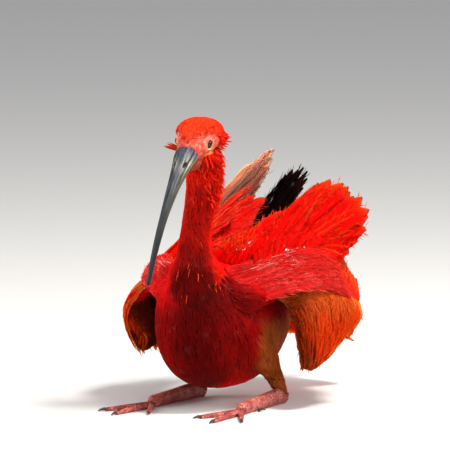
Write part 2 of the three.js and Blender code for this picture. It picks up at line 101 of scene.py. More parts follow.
head_forward = np.array([
    math.sin(HEAD_AZIMUTH) * math.cos(HEAD_PITCH),
    -math.cos(HEAD_AZIMUTH) * math.cos(HEAD_PITCH),
    -math.sin(HEAD_PITCH),
])
level_left = np.array([math.cos(HEAD_AZIMUTH), math.sin(HEAD_AZIMUTH), 0])
level_up = np.cross(head_forward, level_left)
head_left = level_left * math.cos(HEAD_ROLL) - level_up * math.sin(HEAD_ROLL)
head_up = np.cross(head_forward, head_left)


def on_head(forward, left, up):
    return HEAD_MIDDLE + head_forward * forward + head_left * left + head_up * up


eye_low, eye_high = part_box("eye_left")
SHIFT = np.array((eye_low + eye_high) / 2) * 1000 - on_head(0, EYE_OUT, 0)


def place(points):
    """Millimetres of the bird's own plan to metres in the frame."""
    return (np.asarray(points, float) + SHIFT) / 1000


def plan(points):
    """Metres in the frame back to millimetres of the bird's own plan."""
    return np.asarray(points, float) * 1000 - SHIFT


print("the plan is shifted by", SHIFT.round(2), "mm")

# %% [markdown]
# Edges of wings, the line of the neck and rows of feather tips are smooth curves through
# a few points. A Bezier object could be used, but a short function is easier to sample
# anywhere, and also a little past its ends.

# %% Smooth curves
def curve(points):
    """Smooth curve through points, as a function of a number or an array from 0 to 1."""
    p = np.asarray(points, float)
    p = np.vstack([2 * p[0] - p[1], p, 2 * p[-1] - p[-2]])
    last = len(p) - 4

    def at(t):
        t = np.asarray(t, float)
        kept = np.clip(t, 0, 1) * (last + 1)
        i = np.minimum(kept.astype(int), last)
        w = (kept - i)[..., None]
        a, b, c, d = p[i], p[i + 1], p[i + 2], p[i + 3]
        ab = np.maximum(np.linalg.norm(b - a, axis=-1, keepdims=True) ** 0.5, 1e-4)
        bc = np.maximum(np.linalg.norm(c - b, axis=-1, keepdims=True) ** 0.5, 1e-4)
        cd = np.maximum(np.linalg.norm(d - c, axis=-1, keepdims=True) ** 0.5, 1e-4)
        m = ((b - a) / ab - (c - a) / (ab + bc) + (c - b) / bc) * bc
        n = ((c - b) / bc - (d - b) / (bc + cd) + (d - c) / cd) * bc
        point = (b + m * w + (3 * (c - b) - 2 * m - n) * w**2
                 + (2 * (b - c) + m + n) * w**3)
        over = t - np.clip(t, 0, 1)
        if np.any(over != 0):
            ahead = at(np.clip(t, 0.02, 0.98))
            slope = np.where((over > 0)[..., None], (point - ahead), (ahead - point)) / 0.02
            point = point + slope * over[..., None]
        return point

    return at


def along(pairs, x):
    """Value of a list of (place, value) pairs at x, eased between them."""
    places = [a for a, b in pairs]
    for (a, va), (b, vb) in zip(pairs, pairs[1:]):
        if x <= b:
            t = max(0.0, (x - a) / (b - a))
            return mix(va, vb, t * t * (3 - 2 * t))
    return pairs[-1][1] if x > places[-1] else pairs[0][1]


print("halfway between 0 and 10 a smooth curve gives", curve([(0, 0), (10, 0)])(0.5)[0])

# %% [markdown]
# The body is a table of cross sections from breast to tail: place, half width, top and
# bottom. The head has the same along its own frame. Each wing has a leading and a
# trailing edge, a wrist, the end of the bent hand and the tips of its secondaries.

# %% Tables of the body
BODY = np.array([
    (-79, 8, 96, 76), (-76, 20, 112, 60), (-68, 34, 130, 42), (-54, 44, 143, 29),
    (-34, 51, 149, 21), (-8, 56, 150, 17), (20, 56, 146, 17), (46, 50, 139, 22),
    (72, 41, 128, 33), (94, 31, 114, 46), (110, 22, 102, 56), (120, 12, 93, 64),
], float)
HEAD = np.array([
    (-39, 8, 5.5, 8), (-36, 16.5, 9.2, 16.5), (-29, 23, 12.4, 21.5), (-18, 25, 14.4, 22),
    (-7, 21.8, 14.8, 20.5), (3, 17.5, 14.4, 18), (12, 15, 12.8, 16), (19, 12.8, 10.6, 14.2),
    (25, 11.4, 8.8, 12.6),
], float)
NECK_LINE = curve([
    (0, -40, 108), (0, -46, 136), (-1.5, -45, 160), (-1, -42, 184), (1, -39, 206),
    (4, -40, 230), (6, -47, 258),
])
NECK_WIDTH = [(0, 38), (0.2, 27), (0.34, 17.4), (0.5, 15.6), (0.72, 16), (1, 17)]
WINGS = {
    "left": dict(
        side=1,
        lead=[(38, -34, 120), (60, -6, 117), (76, 11, 104), (83, 10, 84), (90, 6, 44)],
        trail=[(46, -6, 142), (66, 26, 157), (84, 50, 154), (93, 52, 112), (93, 38, 58)],
        wrist=(92, 18, 50), hand=(88, 74, 54),
        secondaries=[(68, 138, 168), (60, 140, 153), (56, 141, 138), (58, 142, 124),
                     (66, 138, 112)],
        tertial_lift=4,
    ),
    "right": dict(
        side=-1,
        lead=[(38, -34, 120), (64, -12, 118), (88, -2, 106), (101, -2, 88), (91, -4, 55)],
        trail=[(44, -6, 140), (60, 24, 143), (77, 46, 139), (100, 42, 113), (95, 28, 68)],
        wrist=(92, 10, 58), hand=(94, 66, 66),
        secondaries=[(22, 128, 236), (20, 146, 240), (24, 148, 223), (31, 149, 205),
                     (40, 144, 187), (52, 136, 168), (64, 126, 152)],
        tertial_lift=-4,
    ),
}
for wing in WINGS.values():
    flip = np.array([wing["side"], 1, 1])
    for key in ("lead", "trail", "secondaries"):
        wing[key] = np.array(wing[key], float) * flip
    wing["wrist"] = np.array(wing["wrist"], float) * flip
    wing["hand"] = np.array(wing["hand"], float) * flip
    wing["lead_line"] = curve(wing["lead"])
    wing["trail_line"] = curve(wing["trail"])
print("the body has", len(BODY), "cross sections, and the head", len(HEAD))

# %% [markdown]
# Under the feathers lies one skin. Body, neck, head, thighs and feathered arms are
# each drawn out ring by ring from a capped circle, and then a voxel remesh fuses
# them, because a fused surface has no seams where feathers could part.

# %% Rings and limbs
def on_arm(wing, k, c):
    """Point of the feathered arm: k from shoulder to wrist, c from front to rear edge."""
    k = np.asarray(k, float)
    c = np.asarray(c, float)[..., None]
    return wing["lead_line"](k) * (1 - c) + wing["trail_line"](k) * c


def loft(rings):
    """A closed form through rings of points, drawn out from a capped circle."""
    bm = bmesh.new()
    count = len(rings[0])
    bmesh.ops.create_circle(bm, cap_ends=True, segments=count, radius=1)
    bm.verts.ensure_lookup_table()
    loop = list(bm.verts)
    for vert, point in zip(loop, rings[0]):
        vert.co = place(point)
    first = cap = bm.faces[:][0]
    for ring in rings[1:]:
        grown = bmesh.ops.extrude_face_region(bm, geom=[cap])["geom"]
        if cap.is_valid and cap is not first:
            bmesh.ops.delete(bm, geom=[cap], context="FACES_ONLY")
        new_verts = {g for g in grown if isinstance(g, bmesh.types.BMVert)}
        cap = [g for g in grown if isinstance(g, bmesh.types.BMFace)][0]
        partner = {}
        for vert in new_verts:
            for edge in vert.link_edges:
                partner[edge.other_vert(vert)] = vert
        loop = [partner[v] for v in loop]
        for vert, point in zip(loop, ring):
            vert.co = place(point)
    bmesh.ops.recalc_face_normals(bm, faces=bm.faces)
    return bm


def oval(middle, across, over, half, up, down=None, sides=32, squareness=1.0):
    """One ring of points about a middle, with its own reach upwards and downwards."""
    a = np.arange(sides) / sides * 2 * math.pi
    c = np.sign(np.cos(a)) * np.abs(np.cos(a)) ** squareness
    s = np.sign(np.sin(a)) * np.abs(np.sin(a)) ** squareness
    reach = np.where(s > 0, up, up if down is None else down)
    return (np.asarray(middle, float) + np.outer(c * half, across)
            + np.outer(s * reach, over))


def limb(points, widths, depths, side, rows=20, sides=24, grow=0.0):
    """Rings along a smooth path, closed to blunt ends."""
    line = curve(points)
    rings = []
    for r in range(-2, rows + 3):
        t = min(1, max(0, r / rows))
        way = unit(line(min(1, t + 0.02)) - line(max(0, t - 0.02)))
        across = unit(side - way * np.dot(side, way))
        over = np.cross(way, across)
        width = along(widths, t) + grow
        depth = along(depths, t) + grow
        close, beyond = 1.0, 0.0
        if r < 0 or r > rows:
            step = -r if r < 0 else r - rows
            close = (0.72, 0.3)[step - 1]
            beyond = (0.36, 0.5)[step - 1] * depth * (-1 if r < 0 else 1)
        rings.append(oval(line(t) + way * beyond, across, over, width * close,
                          depth * close, sides=sides))
    return rings


print("a ring of four points:", oval((0, 0, 0), (1, 0, 0), (0, 0, 1), 2, 1, sides=4).round(2))

# %% [markdown]
# Each part of the skin is the same form as its solid, made smaller by the depth of the
# coat that will lie on it. The parts could be sculpted, but rings worked out from the
# solids' own sizes keep both models in step when a size changes.

# %% Skin parts ring by ring
COAT_BODY = 4.0
COAT_NECK = 1.5
COAT_HEAD = 1.4
COAT_THIGH = 2.0
COAT_ARM = 2.4
COAT_PALM = 1.5
THROAT_DEPTH = 1.0
BROW_DEPTH = 0.5


def smooth_rows(table, steps):
    """Rows of numbers with smooth rows added between them."""
    out = []
    for x in np.linspace(0, len(table) - 1, steps):
        i = int(min(x, len(table) - 2))
        t = x - i
        a, b = table[i], table[i + 1]
        before = table[max(0, i - 1)]
        after = table[min(len(table) - 1, i + 2)]
        out.append(0.5 * (2 * a + (b - before) * t
                          + (2 * before - 5 * a + 4 * b - after) * t * t
                          + (3 * a - before - 3 * b + after) * t**3))
    return out


def body_rings(grow):
    rings = []
    for y, half, top, bottom in smooth_rows(BODY, 44):
        waist = mix(bottom, top, 0.54)
        rings.append(oval((0, y, waist), (1, 0, 0), (0, 0, 1), max(1, half + grow),
                          max(1, top - waist + grow), max(1, waist - bottom + grow),
                          sides=56, squareness=0.92))
    return rings


def head_rings(grow):
    rings = []
    for forward, half, up, down in smooth_rows(HEAD, 36):
        rings.append(oval(on_head(forward, 0, 0), head_left, head_up, half + grow,
                          up + grow - 0.8, down + grow, sides=40))
    return rings


def arm_rings(wing, grow):
    rings = []
    away = wing["trail_line"](0.5) - wing["lead_line"](0.5)
    for k in np.linspace(0, 1, 26):
        ends = min(k, 1 - k)
        closed = 1 if ends > 0.06 else math.sqrt(max(0.12, 1 - (1 - ends / 0.06) ** 2))
        way = unit(on_arm(wing, min(1, k + 0.03), 0.5) - on_arm(wing, max(0, k - 0.03), 0.5))
        across = unit(away - way * np.dot(away, way))
        over = np.cross(way, across)
        width = np.linalg.norm(on_arm(wing, k, 1) - on_arm(wing, k, 0)) / 2
        rings.append(oval(on_arm(wing, k, 0.5), across, over, (width + grow) * closed,
                          (8 + grow) * closed, sides=28))
    return rings


def thigh_rings(side, grow):
    knee = np.array([side * 36, -30, 88], float)
    ankle = np.array([side * 47, 48, 9], float)
    return limb([knee, mix(knee, ankle, 0.55) + (0, 4, 4), ankle],
                [(0, 17), (0.35, 16), (0.75, 9), (1, 5.6)],
                [(0, 26), (0.35, 22), (0.75, 10), (1, 6)],
                np.array([1.0, 0, 0]), rows=20, grow=grow)


def palm_rings(wing, grow):
    w, h = wing["wrist"], wing["hand"]
    return limb([w, mix(w, h, 0.5), h], [(0, 7), (0.5, 6.5), (1, 4)],
                [(0, 12), (0.5, 9), (1, 5)], np.array([wing["side"], 0, 0.2]),
                rows=12, grow=grow)


def shoulder_rings(side, grow):
    return limb([(side * 20, -34, 110), (side * 44, -18, 116), (side * 64, 8, 119)],
                [(0, 24), (0.5, 20), (1, 12)], [(0, 24), (0.5, 17), (1, 9)],
                np.array([0, 1.0, 0.2]), rows=16, sides=28, grow=grow)


print("the body has", len(body_rings(0)), "rings, and the head", len(head_rings(0)))

# %% [markdown]
# An ibis has a throat pouch, a low brow and a swelling round each eye. All could be
# sculpted into the head, but as small limbs and balls of their own they keep exact
# places, and the remesh melts them in.

# %% Skin parts gathered
skin_parts = {
    "body": body_rings(-COAT_BODY),
    "neck": limb([NECK_LINE(t) for t in np.linspace(0, 1, 9)], NECK_WIDTH, NECK_WIDTH,
                 np.array([1.0, 0, 0]), rows=30, sides=36, grow=-COAT_NECK),
    "head": head_rings(-COAT_HEAD),
}
EYE_TILT = math.radians(23)


def eye_axis(side):
    """The way an eye looks: outwards and a little forwards."""
    return head_left * (side * math.cos(EYE_TILT)) + head_forward * math.sin(EYE_TILT)


def ball_rings(middle, radius):
    angles = np.linspace(-0.46, 0.46, 14) * math.pi
    return [oval(middle + head_up * radius * math.sin(a), head_forward, head_left,
                 radius * math.cos(a), radius * math.cos(a), sides=24) for a in angles]


skin_parts["throat"] = limb(
    [on_head(21, 0, -9), on_head(10, 0, -16), on_head(-6, 0, -26)],
    [(0, 8), (0.5, 11.5), (1, 15)], [(0, 5), (0.5, 9), (1, 13)], head_left, rows=16,
    sides=28, grow=-THROAT_DEPTH)
skin_parts["brow"] = limb(
    [on_head(8, 0, 13), on_head(20, 0, 8.6), on_head(26.5, 0, 6.6)],
    [(0, 9), (0.6, 5), (1, 1.8)], [(0, 3), (0.6, 2.6), (1, 1.4)], head_left, rows=12,
    sides=20, grow=-BROW_DEPTH)
for side in (1, -1):
    skin_parts["orbit_left" if side == 1 else "orbit_right"] = ball_rings(
        on_head(0, EYE_OUT * side, 0) - eye_axis(side) * 1.8, 6.4)
for name, wing in WINGS.items():
    skin_parts["shoulder_" + name] = shoulder_rings(wing["side"], -COAT_ARM)
    skin_parts["arm_" + name] = arm_rings(wing, -COAT_ARM)
    skin_parts["palm_" + name] = palm_rings(wing, -COAT_PALM)
    skin_parts["thigh_" + name] = thigh_rings(wing["side"], -COAT_THIGH)
print("skin parts:", ", ".join(skin_parts))

# %% [markdown]
# A flat unwrap of the skin could be made by marking seams and unwrapping, but the rings
# already are one: along the ring and around it. Every ring point remembers which part
# it belongs to, so that any place on the skin can ask later whose feathers it should
# wear, and where it lies on the unwrap.

# %% Flat unwrap of the skin
SHEET = {
    "body": (0.01, 0.01, 0.5, 0.52), "neck": (0.53, 0.01, 0.22, 0.4),
    "head": (0.77, 0.01, 0.22, 0.4), "arm_left": (0.01, 0.55, 0.3, 0.2),
    "arm_right": (0.01, 0.77, 0.3, 0.2), "palm_left": (0.33, 0.55, 0.15, 0.2),
    "palm_right": (0.33, 0.77, 0.15, 0.2), "thigh_left": (0.53, 0.45, 0.44, 0.25),
    "thigh_right": (0.53, 0.72, 0.3, 0.25), "shoulder_left": (0.84, 0.72, 0.07, 0.25),
    "shoulder_right": (0.92, 0.72, 0.07, 0.25), "throat": (0.77, 0.42, 0.09, 0.02),
    "brow": (0.87, 0.42, 0.09, 0.02), "orbit_left": (0.49, 0.55, 0.03, 0.1),
    "orbit_right": (0.49, 0.67, 0.03, 0.1),
}
skin_rings = {name: np.array(rings) for name, rings in skin_parts.items()}
marks = [(name, r, j) for name, rings in skin_rings.items()
         for r in range(rings.shape[0]) for j in range(rings.shape[1])]
region_tree = KDTree(len(marks))
for i, (name, r, j) in enumerate(marks):
    region_tree.insert(place(skin_rings[name][r, j]), i)
region_tree.balance()


def region_at(point):
    """Part of the skin at a place in metres: its name, ring and step around the ring."""
    return marks[region_tree.find(point)[1]]


def flat_places(points, mark):
    """Where points near one ring point fall on the flat unwrap of the skin."""
    name, r, j = mark
    rings = skin_rings[name]
    count, sides = rings.shape[:2]
    here = rings[r, j]
    ahead = rings[min(count - 1, r + 1), j] - rings[max(0, r - 1), j]
    around = rings[r, (j + 1) % sides] - rings[r, j - 1]
    ahead /= 2 if 0 < r < count - 1 else 1
    around /= 2
    off = plan(points) - here
    da = np.clip(off @ ahead / max(ahead @ ahead, 1), -1.5, 1.5)
    db = np.clip(off @ around / max(around @ around, 1), -1.5, 1.5)
    x, y, w, h = SHEET[name]
    return np.stack([x + w * (r + da) / (count - 1), y + h * (j + 0.5 + db) / sides], -1)


print(len(marks), "ring points in", len(skin_parts), "parts of the skin")

# %% [markdown]
# The fused skin keeps the edges where two parts met, such as the foot of the neck.
# A living skin runs smoothly over them, so its points are relaxed many times, but only
# a few times on the head, whose brow and cheeks should stay crisp.

# %% Fuse and relax the skin
SKIN_VOXEL = 0.0013
HEAD_REACH = 0.034
REST_PASSES = 14
WHOLE_PASSES = 3


def new_object(name, mesh):
    obj = bpy.data.objects.new(name, mesh)
    bpy.context.scene.collection.objects.link(obj)
    return obj


def finished_mesh(obj):
    """The mesh of an object with its modifiers carried out."""
    graph = bpy.context.evaluated_depsgraph_get()
    mesh = bpy.data.meshes.new_from_object(obj.evaluated_get(graph))
    obj.modifiers.clear()
    obj.data = mesh
    return mesh


def points_of(mesh):
    co = np.empty(len(mesh.vertices) * 3)
    mesh.vertices.foreach_get("co", co)
    return co.reshape(-1, 3)


joined = bpy.data.meshes.new("skin")
whole = bmesh.new()
for rings in skin_parts.values():
    part = bpy.data.meshes.new("part")
    bm = loft(rings)
    bm.to_mesh(part)
    bm.free()
    whole.from_mesh(part)
    bpy.data.meshes.remove(part)
whole.to_mesh(joined)
whole.free()
skin = new_object("skin", joined)
remesh = skin.modifiers.new("fuse", "REMESH")
remesh.mode = "VOXEL"
remesh.voxel_size = SKIN_VOXEL
remesh.adaptivity = 0
mesh = finished_mesh(skin)
bm = bmesh.new()
bm.from_mesh(mesh)
near_head = [(Vector(place(HEAD_MIDDLE)) - v.co).length < HEAD_REACH for v in bm.verts]
rest = [v for v, near in zip(bm.verts, near_head) if not near]
for i in range(REST_PASSES):
    bmesh.ops.smooth_vert(bm, verts=rest, factor=0.5, use_axis_x=True, use_axis_y=True,
                          use_axis_z=True)
for i in range(WHOLE_PASSES):
    bmesh.ops.smooth_vert(bm, verts=bm.verts, factor=0.5, use_axis_x=True,
                          use_axis_y=True, use_axis_z=True)
bm.to_mesh(mesh)
bm.free()
for polygon in mesh.polygons:
    polygon.use_smooth = True
print("skin has", len(mesh.vertices), "points")

# %% [markdown]
# A flight feather is a flat vane on a shaft: thin, slightly hollow below, with barbs
# that sweep forward and outward, and with a wet edge that splits where barbs stick
# together. Each one is a closed grid of points, thick at the shaft and sharp at the
# edges. A few hundred of these are computed at once from arrays.

# %% Rows of vanes
VANE_SHAPE = [(0, 0.34), (0.08, 0.6), (0.22, 0.86), (0.5, 1), (0.8, 0.9), (0.93, 0.6),
              (1, 0.14)]


def straight(roots, tips, outward, bend=0.0, share=1.0):
    """Paths of feathers from a line of roots to a line of tips, bowed outwards."""
    outward = unit(np.asarray(outward, float))

    def path(t, s):
        base, end = roots(t), tips(t)
        end = base + (end - base) * share
        line = base[:, None] + (end - base)[:, None] * s[None, :, None]
        return line + outward * (4 * s * (1 - s) * bend)[None, :, None]

    return path


def vane_row(path, outward, width, count, lift=0.0, tip_lift=0.0, step=1.6, turn=1,
             stations=26, columns=9, ragged=0.12, thick=0.45, shape=VANE_SHAPE, seed=1,
             spread=0.0, cup=1.2, stray=0.0, uneven=0.0):
    """Points of a row of overlapping vanes, as arrays: count x stations x columns."""
    local = np.random.default_rng(seed)
    t = np.linspace(0, 1, count)
    t = t + local.uniform(-spread, spread, count) / (count - 1)
    s = np.linspace(0, 1, stations)
    middle = path(t, s)
    if uneven:
        reach = 1 - local.uniform(0, uneven, count)
        middle = middle[:, :1] + (middle - middle[:, :1]) * reach[:, None, None]
    outward = unit(np.asarray(outward, float))
    way = unit(np.gradient(middle, axis=1))
    wide = np.gradient(path(t, s), axis=0)
    wide = wide - way * (wide * way).sum(-1, keepdims=True)
    across = unit(wide)
    facing = np.cross(way, across)
    facing = facing * np.sign((facing * outward).sum(-1).mean() or 1)
    level = mix(lift, tip_lift, s)[None] + (step * turn * np.arange(count))[:, None]
    middle = middle + facing * level[..., None]
    if stray:
        lean = local.normal(0, stray, (count, 1, 1)) * (s**1.5)[None, :, None]
        roll = local.normal(0, stray * 0.6, (count, 1, 1)) * (s**1.5)[None, :, None]
        middle = middle + across * lean + facing * np.abs(roll)
    half = np.interp(s, [a for a, b in shape], [b for a, b in shape]) * width / 2
    c = np.linspace(-1, 1, columns)
    notch = np.zeros((count, stations, 2))
    for i in range(3):
        waves = local.uniform(5, 24, (count, 1, 2))
        offset = local.uniform(0, 6.28, (count, 1, 2))
        notch += np.sin(waves * s[None, :, None] * 3 + offset) / 3
    notch = np.where(notch > 0, notch * 0.3, notch)
    notch = notch * np.clip(s * 1.6 - 0.25, 0, 1)[None, :, None]
    grow = 1 + ragged * notch * 2
    side = np.where(c[None, None] < 0, grow[..., :1], grow[..., 1:])
    off = c[None, None] * half[None, :, None] * side
    # the barbs sweep towards the tip, so edge points sit further out than the shaft
    sweep = np.abs(c)[None, None] * half[None, :, None] * 0.35 * (1 - s)[None, :, None]
    dip = (c**2)[None, None] * cup
    mid = middle[:, :, None] + across[:, :, None] * off[..., None] \
        + way[:, :, None] * sweep[..., None] - facing[:, :, None] * dip[..., None]
    thickness = thick * np.maximum(0, 1 - np.abs(c)**1.6) + 0.5 * np.exp(-(c / 0.16)**2)
    thickness = thickness[None, None] * (1 - 0.75 * s)[None, :, None] * np.ones((count, 1, 1))
    thickness[:, :, 0] = 0
    thickness[:, :, -1] = 0
    thickness[:, 0] = 0
    thickness[:, -1] = 0
    top = mid + facing[:, :, None] * (thickness / 2)[..., None]
    low = mid - facing[:, :, None] * (thickness / 2)[..., None]
    return dict(top=top, low=low, s=s, c=c, width=width, roots=middle[:, 0],
                length=np.linalg.norm(middle[:, -1] - middle[:, 0], axis=1),
                way=way, across=across, facing=facing)


print("a vane's outline has", len(VANE_SHAPE), "given widths")

# %% [markdown]
# Hundreds of vanes are one joined mesh, because that many objects would be slow and
# none of them moves alone. The arrays are put into the mesh at once. Each vane has two
# maps: one in real lengths for its barbs, and one small patch on the skin's unwrap.

# %% Vanes joined in one mesh
PATCH = 0.003


def build_mesh(mesh, co, faces):
    """Fills a mesh from arrays of points and of faces with the same number of sides."""
    n, sides = faces.shape
    mesh.vertices.add(len(co))
    mesh.vertices.foreach_set("co", np.asarray(co, np.float32).ravel())
    mesh.loops.add(n * sides)
    mesh.loops.foreach_set("vertex_index", faces.ravel().astype(np.int32))
    mesh.polygons.add(n)
    mesh.polygons.foreach_set("loop_start", np.arange(0, n * sides, sides, dtype=np.int32))
    mesh.polygons.foreach_set("loop_total", np.full(n, sides, np.int32))
    mesh.polygons.foreach_set("use_smooth", np.ones(n, bool))
    mesh.update(calc_edges=True)
    mesh.validate()


def store_plumage(mesh, colours):
    """The plumage colour, one value for each point."""
    layer = mesh.attributes.new("Plumage", "FLOAT_COLOR", "POINT")
    colours = np.concatenate([colours, np.ones((len(colours), 1))], 1)
    layer.data.foreach_set("color", colours.astype(np.float32).ravel())


def add_maps(mesh, maps, colours):
    """UV maps and the plumage colour, from one value per point."""
    index = np.empty(len(mesh.loops), np.int32)
    mesh.loops.foreach_get("vertex_index", index)
    for name, uv in maps.items():
        layer = mesh.uv_layers.new(name=name)
        layer.data.foreach_set("uv", np.asarray(uv, np.float32)[index].ravel())
    store_plumage(mesh, colours)


def vane_mesh(name, rows):
    """One mesh out of vane rows: closed thin blades with maps for the barbs and bake."""
    verts, faces, vane_uv, bake_uv, tone = [], [], [], [], []
    start = 0
    for row in rows:
        count, stations, columns = row["top"].shape[:3]
        for i in range(count):
            top = row["top"][i].reshape(-1, 3)
            low = row["low"][i][1:-1, 1:-1].reshape(-1, 3)
            ti = np.arange(stations * columns).reshape(stations, columns)
            li = ti.copy()
            li[1:-1, 1:-1] = stations * columns \
                + np.arange((stations - 2) * (columns - 2)).reshape(stations - 2, -1)
            quads = []
            for grid, flip in ((ti, False), (li, True)):
                a, b = grid[:-1, :-1], grid[1:, :-1]
                d, e = grid[:-1, 1:], grid[1:, 1:]
                q = np.stack([a, d, e, b] if not flip else [a, b, e, d], -1).reshape(-1, 4)
                quads.append(q)
            quads = np.concatenate(quads)
            verts.append(np.concatenate([top, low]))
            faces.append(quads + start)
            s = np.repeat(row["s"], columns)
            c = np.tile(row["c"], stations)
            u = np.concatenate([c, c.reshape(stations, columns)[1:-1, 1:-1].ravel()])
            v = np.concatenate([s, s.reshape(stations, columns)[1:-1, 1:-1].ravel()])
            vane_uv.append(np.stack([u * row["width"] / 2000, v * row["length"][i] / 1000], -1))
            root = row["bake"][i]
            bake_uv.append(root + np.stack([u, v * 2 - 1], -1) * PATCH / 2)
            tone.append(row["tone"](i, v, u))
            start += len(verts[-1])
    mesh = bpy.data.meshes.new(name)
    co = place(np.concatenate(verts))
    quads = np.concatenate(faces)
    build_mesh(mesh, co, quads)
    add_maps(mesh, dict(OFBake=np.concatenate(bake_uv), Vane=np.concatenate(vane_uv)),
             np.concatenate(tone))
    obj = new_object(name, mesh)
    bm = bmesh.new()
    bm.from_mesh(mesh)
    bmesh.ops.recalc_face_normals(bm, faces=bm.faces)
    bm.to_mesh(mesh)
    bm.free()
    return obj


print("each vane takes a patch of", PATCH, "on the unwrap")

# %% [markdown]
# The colours of a scarlet ibis are simple, but wet feathers are darker than dry ones,
# so the breast, which is soaked, is a deep blood red, deepened further by painted shade,
# and the crown and the raised fan of the wings are the brightest orange-red, painted
# light where the sun falls on the crown and shines through the fan. The wings also carry
# painted orange glow and dark brown painted shade. One function gives the colour of any
# place, and skin, tufts and vanes all ask it, so that they agree.

# %% Colours of the plumage
def ink(red, green, blue):
    """Linear light values of a colour picked on a screen, from 0 to 255."""
    v = np.array([red, green, blue], float) / 255
    return np.where(v <= 0.04045, v / 12.92, ((v + 0.055) / 1.055) ** 2.4)


SCARLET = ink(238, 14, 8)
CRIMSON = ink(232, 10, 16)
# orange-red is painted light: sun on the crown, glow on the wings, light through thin feather
# edges
ORANGE_RED = ink(250, 60, 26)
# a deep red that is partly soaked feathers and partly painted shade
SOAKED_AND_SHADED = ink(76, 1, 1)
# olive-brown painted shade on the flank and low on the thighs
SHADE_OLIVE = ink(158, 78, 28)
FACE = ink(204, 74, 56)
BLACK = ink(9, 4, 5)
# painted orange glow low on the wings, and dark brown painted shade on their inner sides and the
# hood
ORANGE = ink(255, 84, 16)
SHADE_BROWN = ink(92, 28, 5)


def ease(x, low, high):
    t = np.clip((np.asarray(x, float) - low) / (high - low), 0, 1)
    return t * t * (3 - 2 * t)


def blend(a, b, t):
    t = np.asarray(t, float)[..., None]
    return a * (1 - t) + b * t


def shaded_flank_share(p):
    """1 on the flank behind the breast, under the wing, where olive-brown painted shade goes."""
    behind = np.abs(p[..., 0]) * 0.87 + p[..., 1] * 0.5
    return (ease(behind, 32, 42) * (1 - ease(behind, 66, 80)) * (1 - ease(p[..., 2], 84, 100)))


def body_tone(p, n):
    """Colour of the body coat at places of the plan, with painted shade on the front, under the
    wing and low down.
    """
    x, y, z = p[..., 0], p[..., 1], p[..., 2]
    front = ease(-y, 14, 50)
    # painted shade: the front of the body is darker low down and lighter higher up, as if lit from
    # above
    tone = blend(ink(138, 4, 4), CRIMSON, ease(z, 98 + 14 * ease(x, 10, 50), 134))
    tone = blend(SCARLET, tone, front)
    # painted shade under the wing on one side of the breast, and a darker band beside it
    tone = blend(tone, ink(126, 3, 3), ease(x, 20, 44) * (1 - ease(z, 112, 138)) * 0.85)
    tone = blend(tone, ink(130, 8, 8), ease(x, 10, 26) * front * ease(z, 90, 110) * 0.9)
    # the dark blood red down the middle of the breast is partly soaked feathers and partly painted
    # shade
    middle = np.exp(-(np.abs(x - 15) / 25)**2.6) * (0.8 + 0.2 * ease(z, 96, 120))
    tone = blend(tone, SOAKED_AND_SHADED, front * middle)
    # orange-brown painted shade low on the sides, and olive-brown painted shade on the flank under
    # the wing
    tone = blend(tone, ink(116, 34, 14),
                 (1 - ease(z, 22, 74)) * ease(np.abs(x - 15), 14, 36) * 0.85)
    return blend(tone, SHADE_OLIVE, shaded_flank_share(p) * 0.9)


def neck_tone(p, n):
    z = p[..., 2]
    tone = blend(ink(230, 18, 6), ink(238, 28, 10), ease(z, 180, 240))
    # painted shade: the side of the neck that faces forwards is darker, most of all low down, and
    # wet feathers add to it
    front = ease(n @ np.array([0.4, -0.92, 0]), 0.15, 0.85)
    wet = blend(ink(96, 3, 2), ink(172, 14, 4), ease(z, 140, 200))
    return blend(tone, wet, front * (1 - 0.75 * ease(z, 215, 245)))


def on_head_places(p):
    """Forward, left and up of places of the plan, seen from the middle of the head."""
    local = np.asarray(p, float) - HEAD_MIDDLE
    return local @ head_forward, local @ head_left, local @ head_up


def head_tone(p, n):
    """The feathered crown and nape, and the bare salmon skin of the face."""
    f, l, u = on_head_places(p)
    # painted light: the top of the head is lighter orange-red where the sun from above falls on it
    tone = blend(ink(240, 32, 14), ORANGE_RED, ease(u, 2, 10))
    blotch = np.array([noise.noise(q * 0.34) for q in np.atleast_2d(p)])
    face = blend(FACE, ink(222, 50, 32), ease(blotch, -0.05, 0.4))
    face = blend(face, ink(236, 122, 94), ease(-blotch, 0.12, 0.45) * 0.7)
    tone = blend(tone, face, bare_share(p))
    cheek = np.exp(-((f - 1) / 6)**2 - ((u + 15) / 6)**2) * ease(np.abs(l), 8, 12)
    tone = blend(tone, ink(255, 138, 56), cheek * 0.85)
    lore = np.exp(-((f - 13) / 7)**2 - ((u + 12) / 8)**2) * ease(np.abs(l), 2, 8)
    tone = blend(tone, ink(120, 26, 20), lore * 0.8)
    tone = blend(tone, ink(160, 52, 30), ease(-u, 12, 15) * ease(f, 2, 8))
    rim = np.exp(-((f - 24) / 3)**2)
    tone = blend(tone, ink(120, 44, 60), rim * 0.5)
    ring = np.hypot(f - 1.2, u) / 6.2
    return blend(tone, ink(240, 150, 120), np.exp(-((ring - 1) / 0.22)**2)
                 * ease(np.abs(l), 10, 13) * 0.6)


def bare_share(p):
    """How bare the face is at places of the plan: 1 on the skin, 0 under feathers."""
    f, l, u = on_head_places(p)
    front = ease(f - 0.3 * u, -5, 3) * (1 - ease(u, 8, 15))
    around = 1 - ease(((f + 0.5) / 12.5)**2 + ((u + 5) / 13.5)**2, 0.7, 1.2)
    around = around * ease(np.abs(l), 8, 10)
    throat = ease(f, -10, -4) * (1 - ease(u, -13, -9)) * (1 - ease(-u, 22, 28))
    return np.clip(np.maximum(np.maximum(front, around), throat), 0, 1)


def thigh_tone(p, n):
    # olive-brown painted shade low on the thigh
    return blend(body_tone(p, n), SHADE_OLIVE, 1 - ease(p[..., 2], 20, 50))


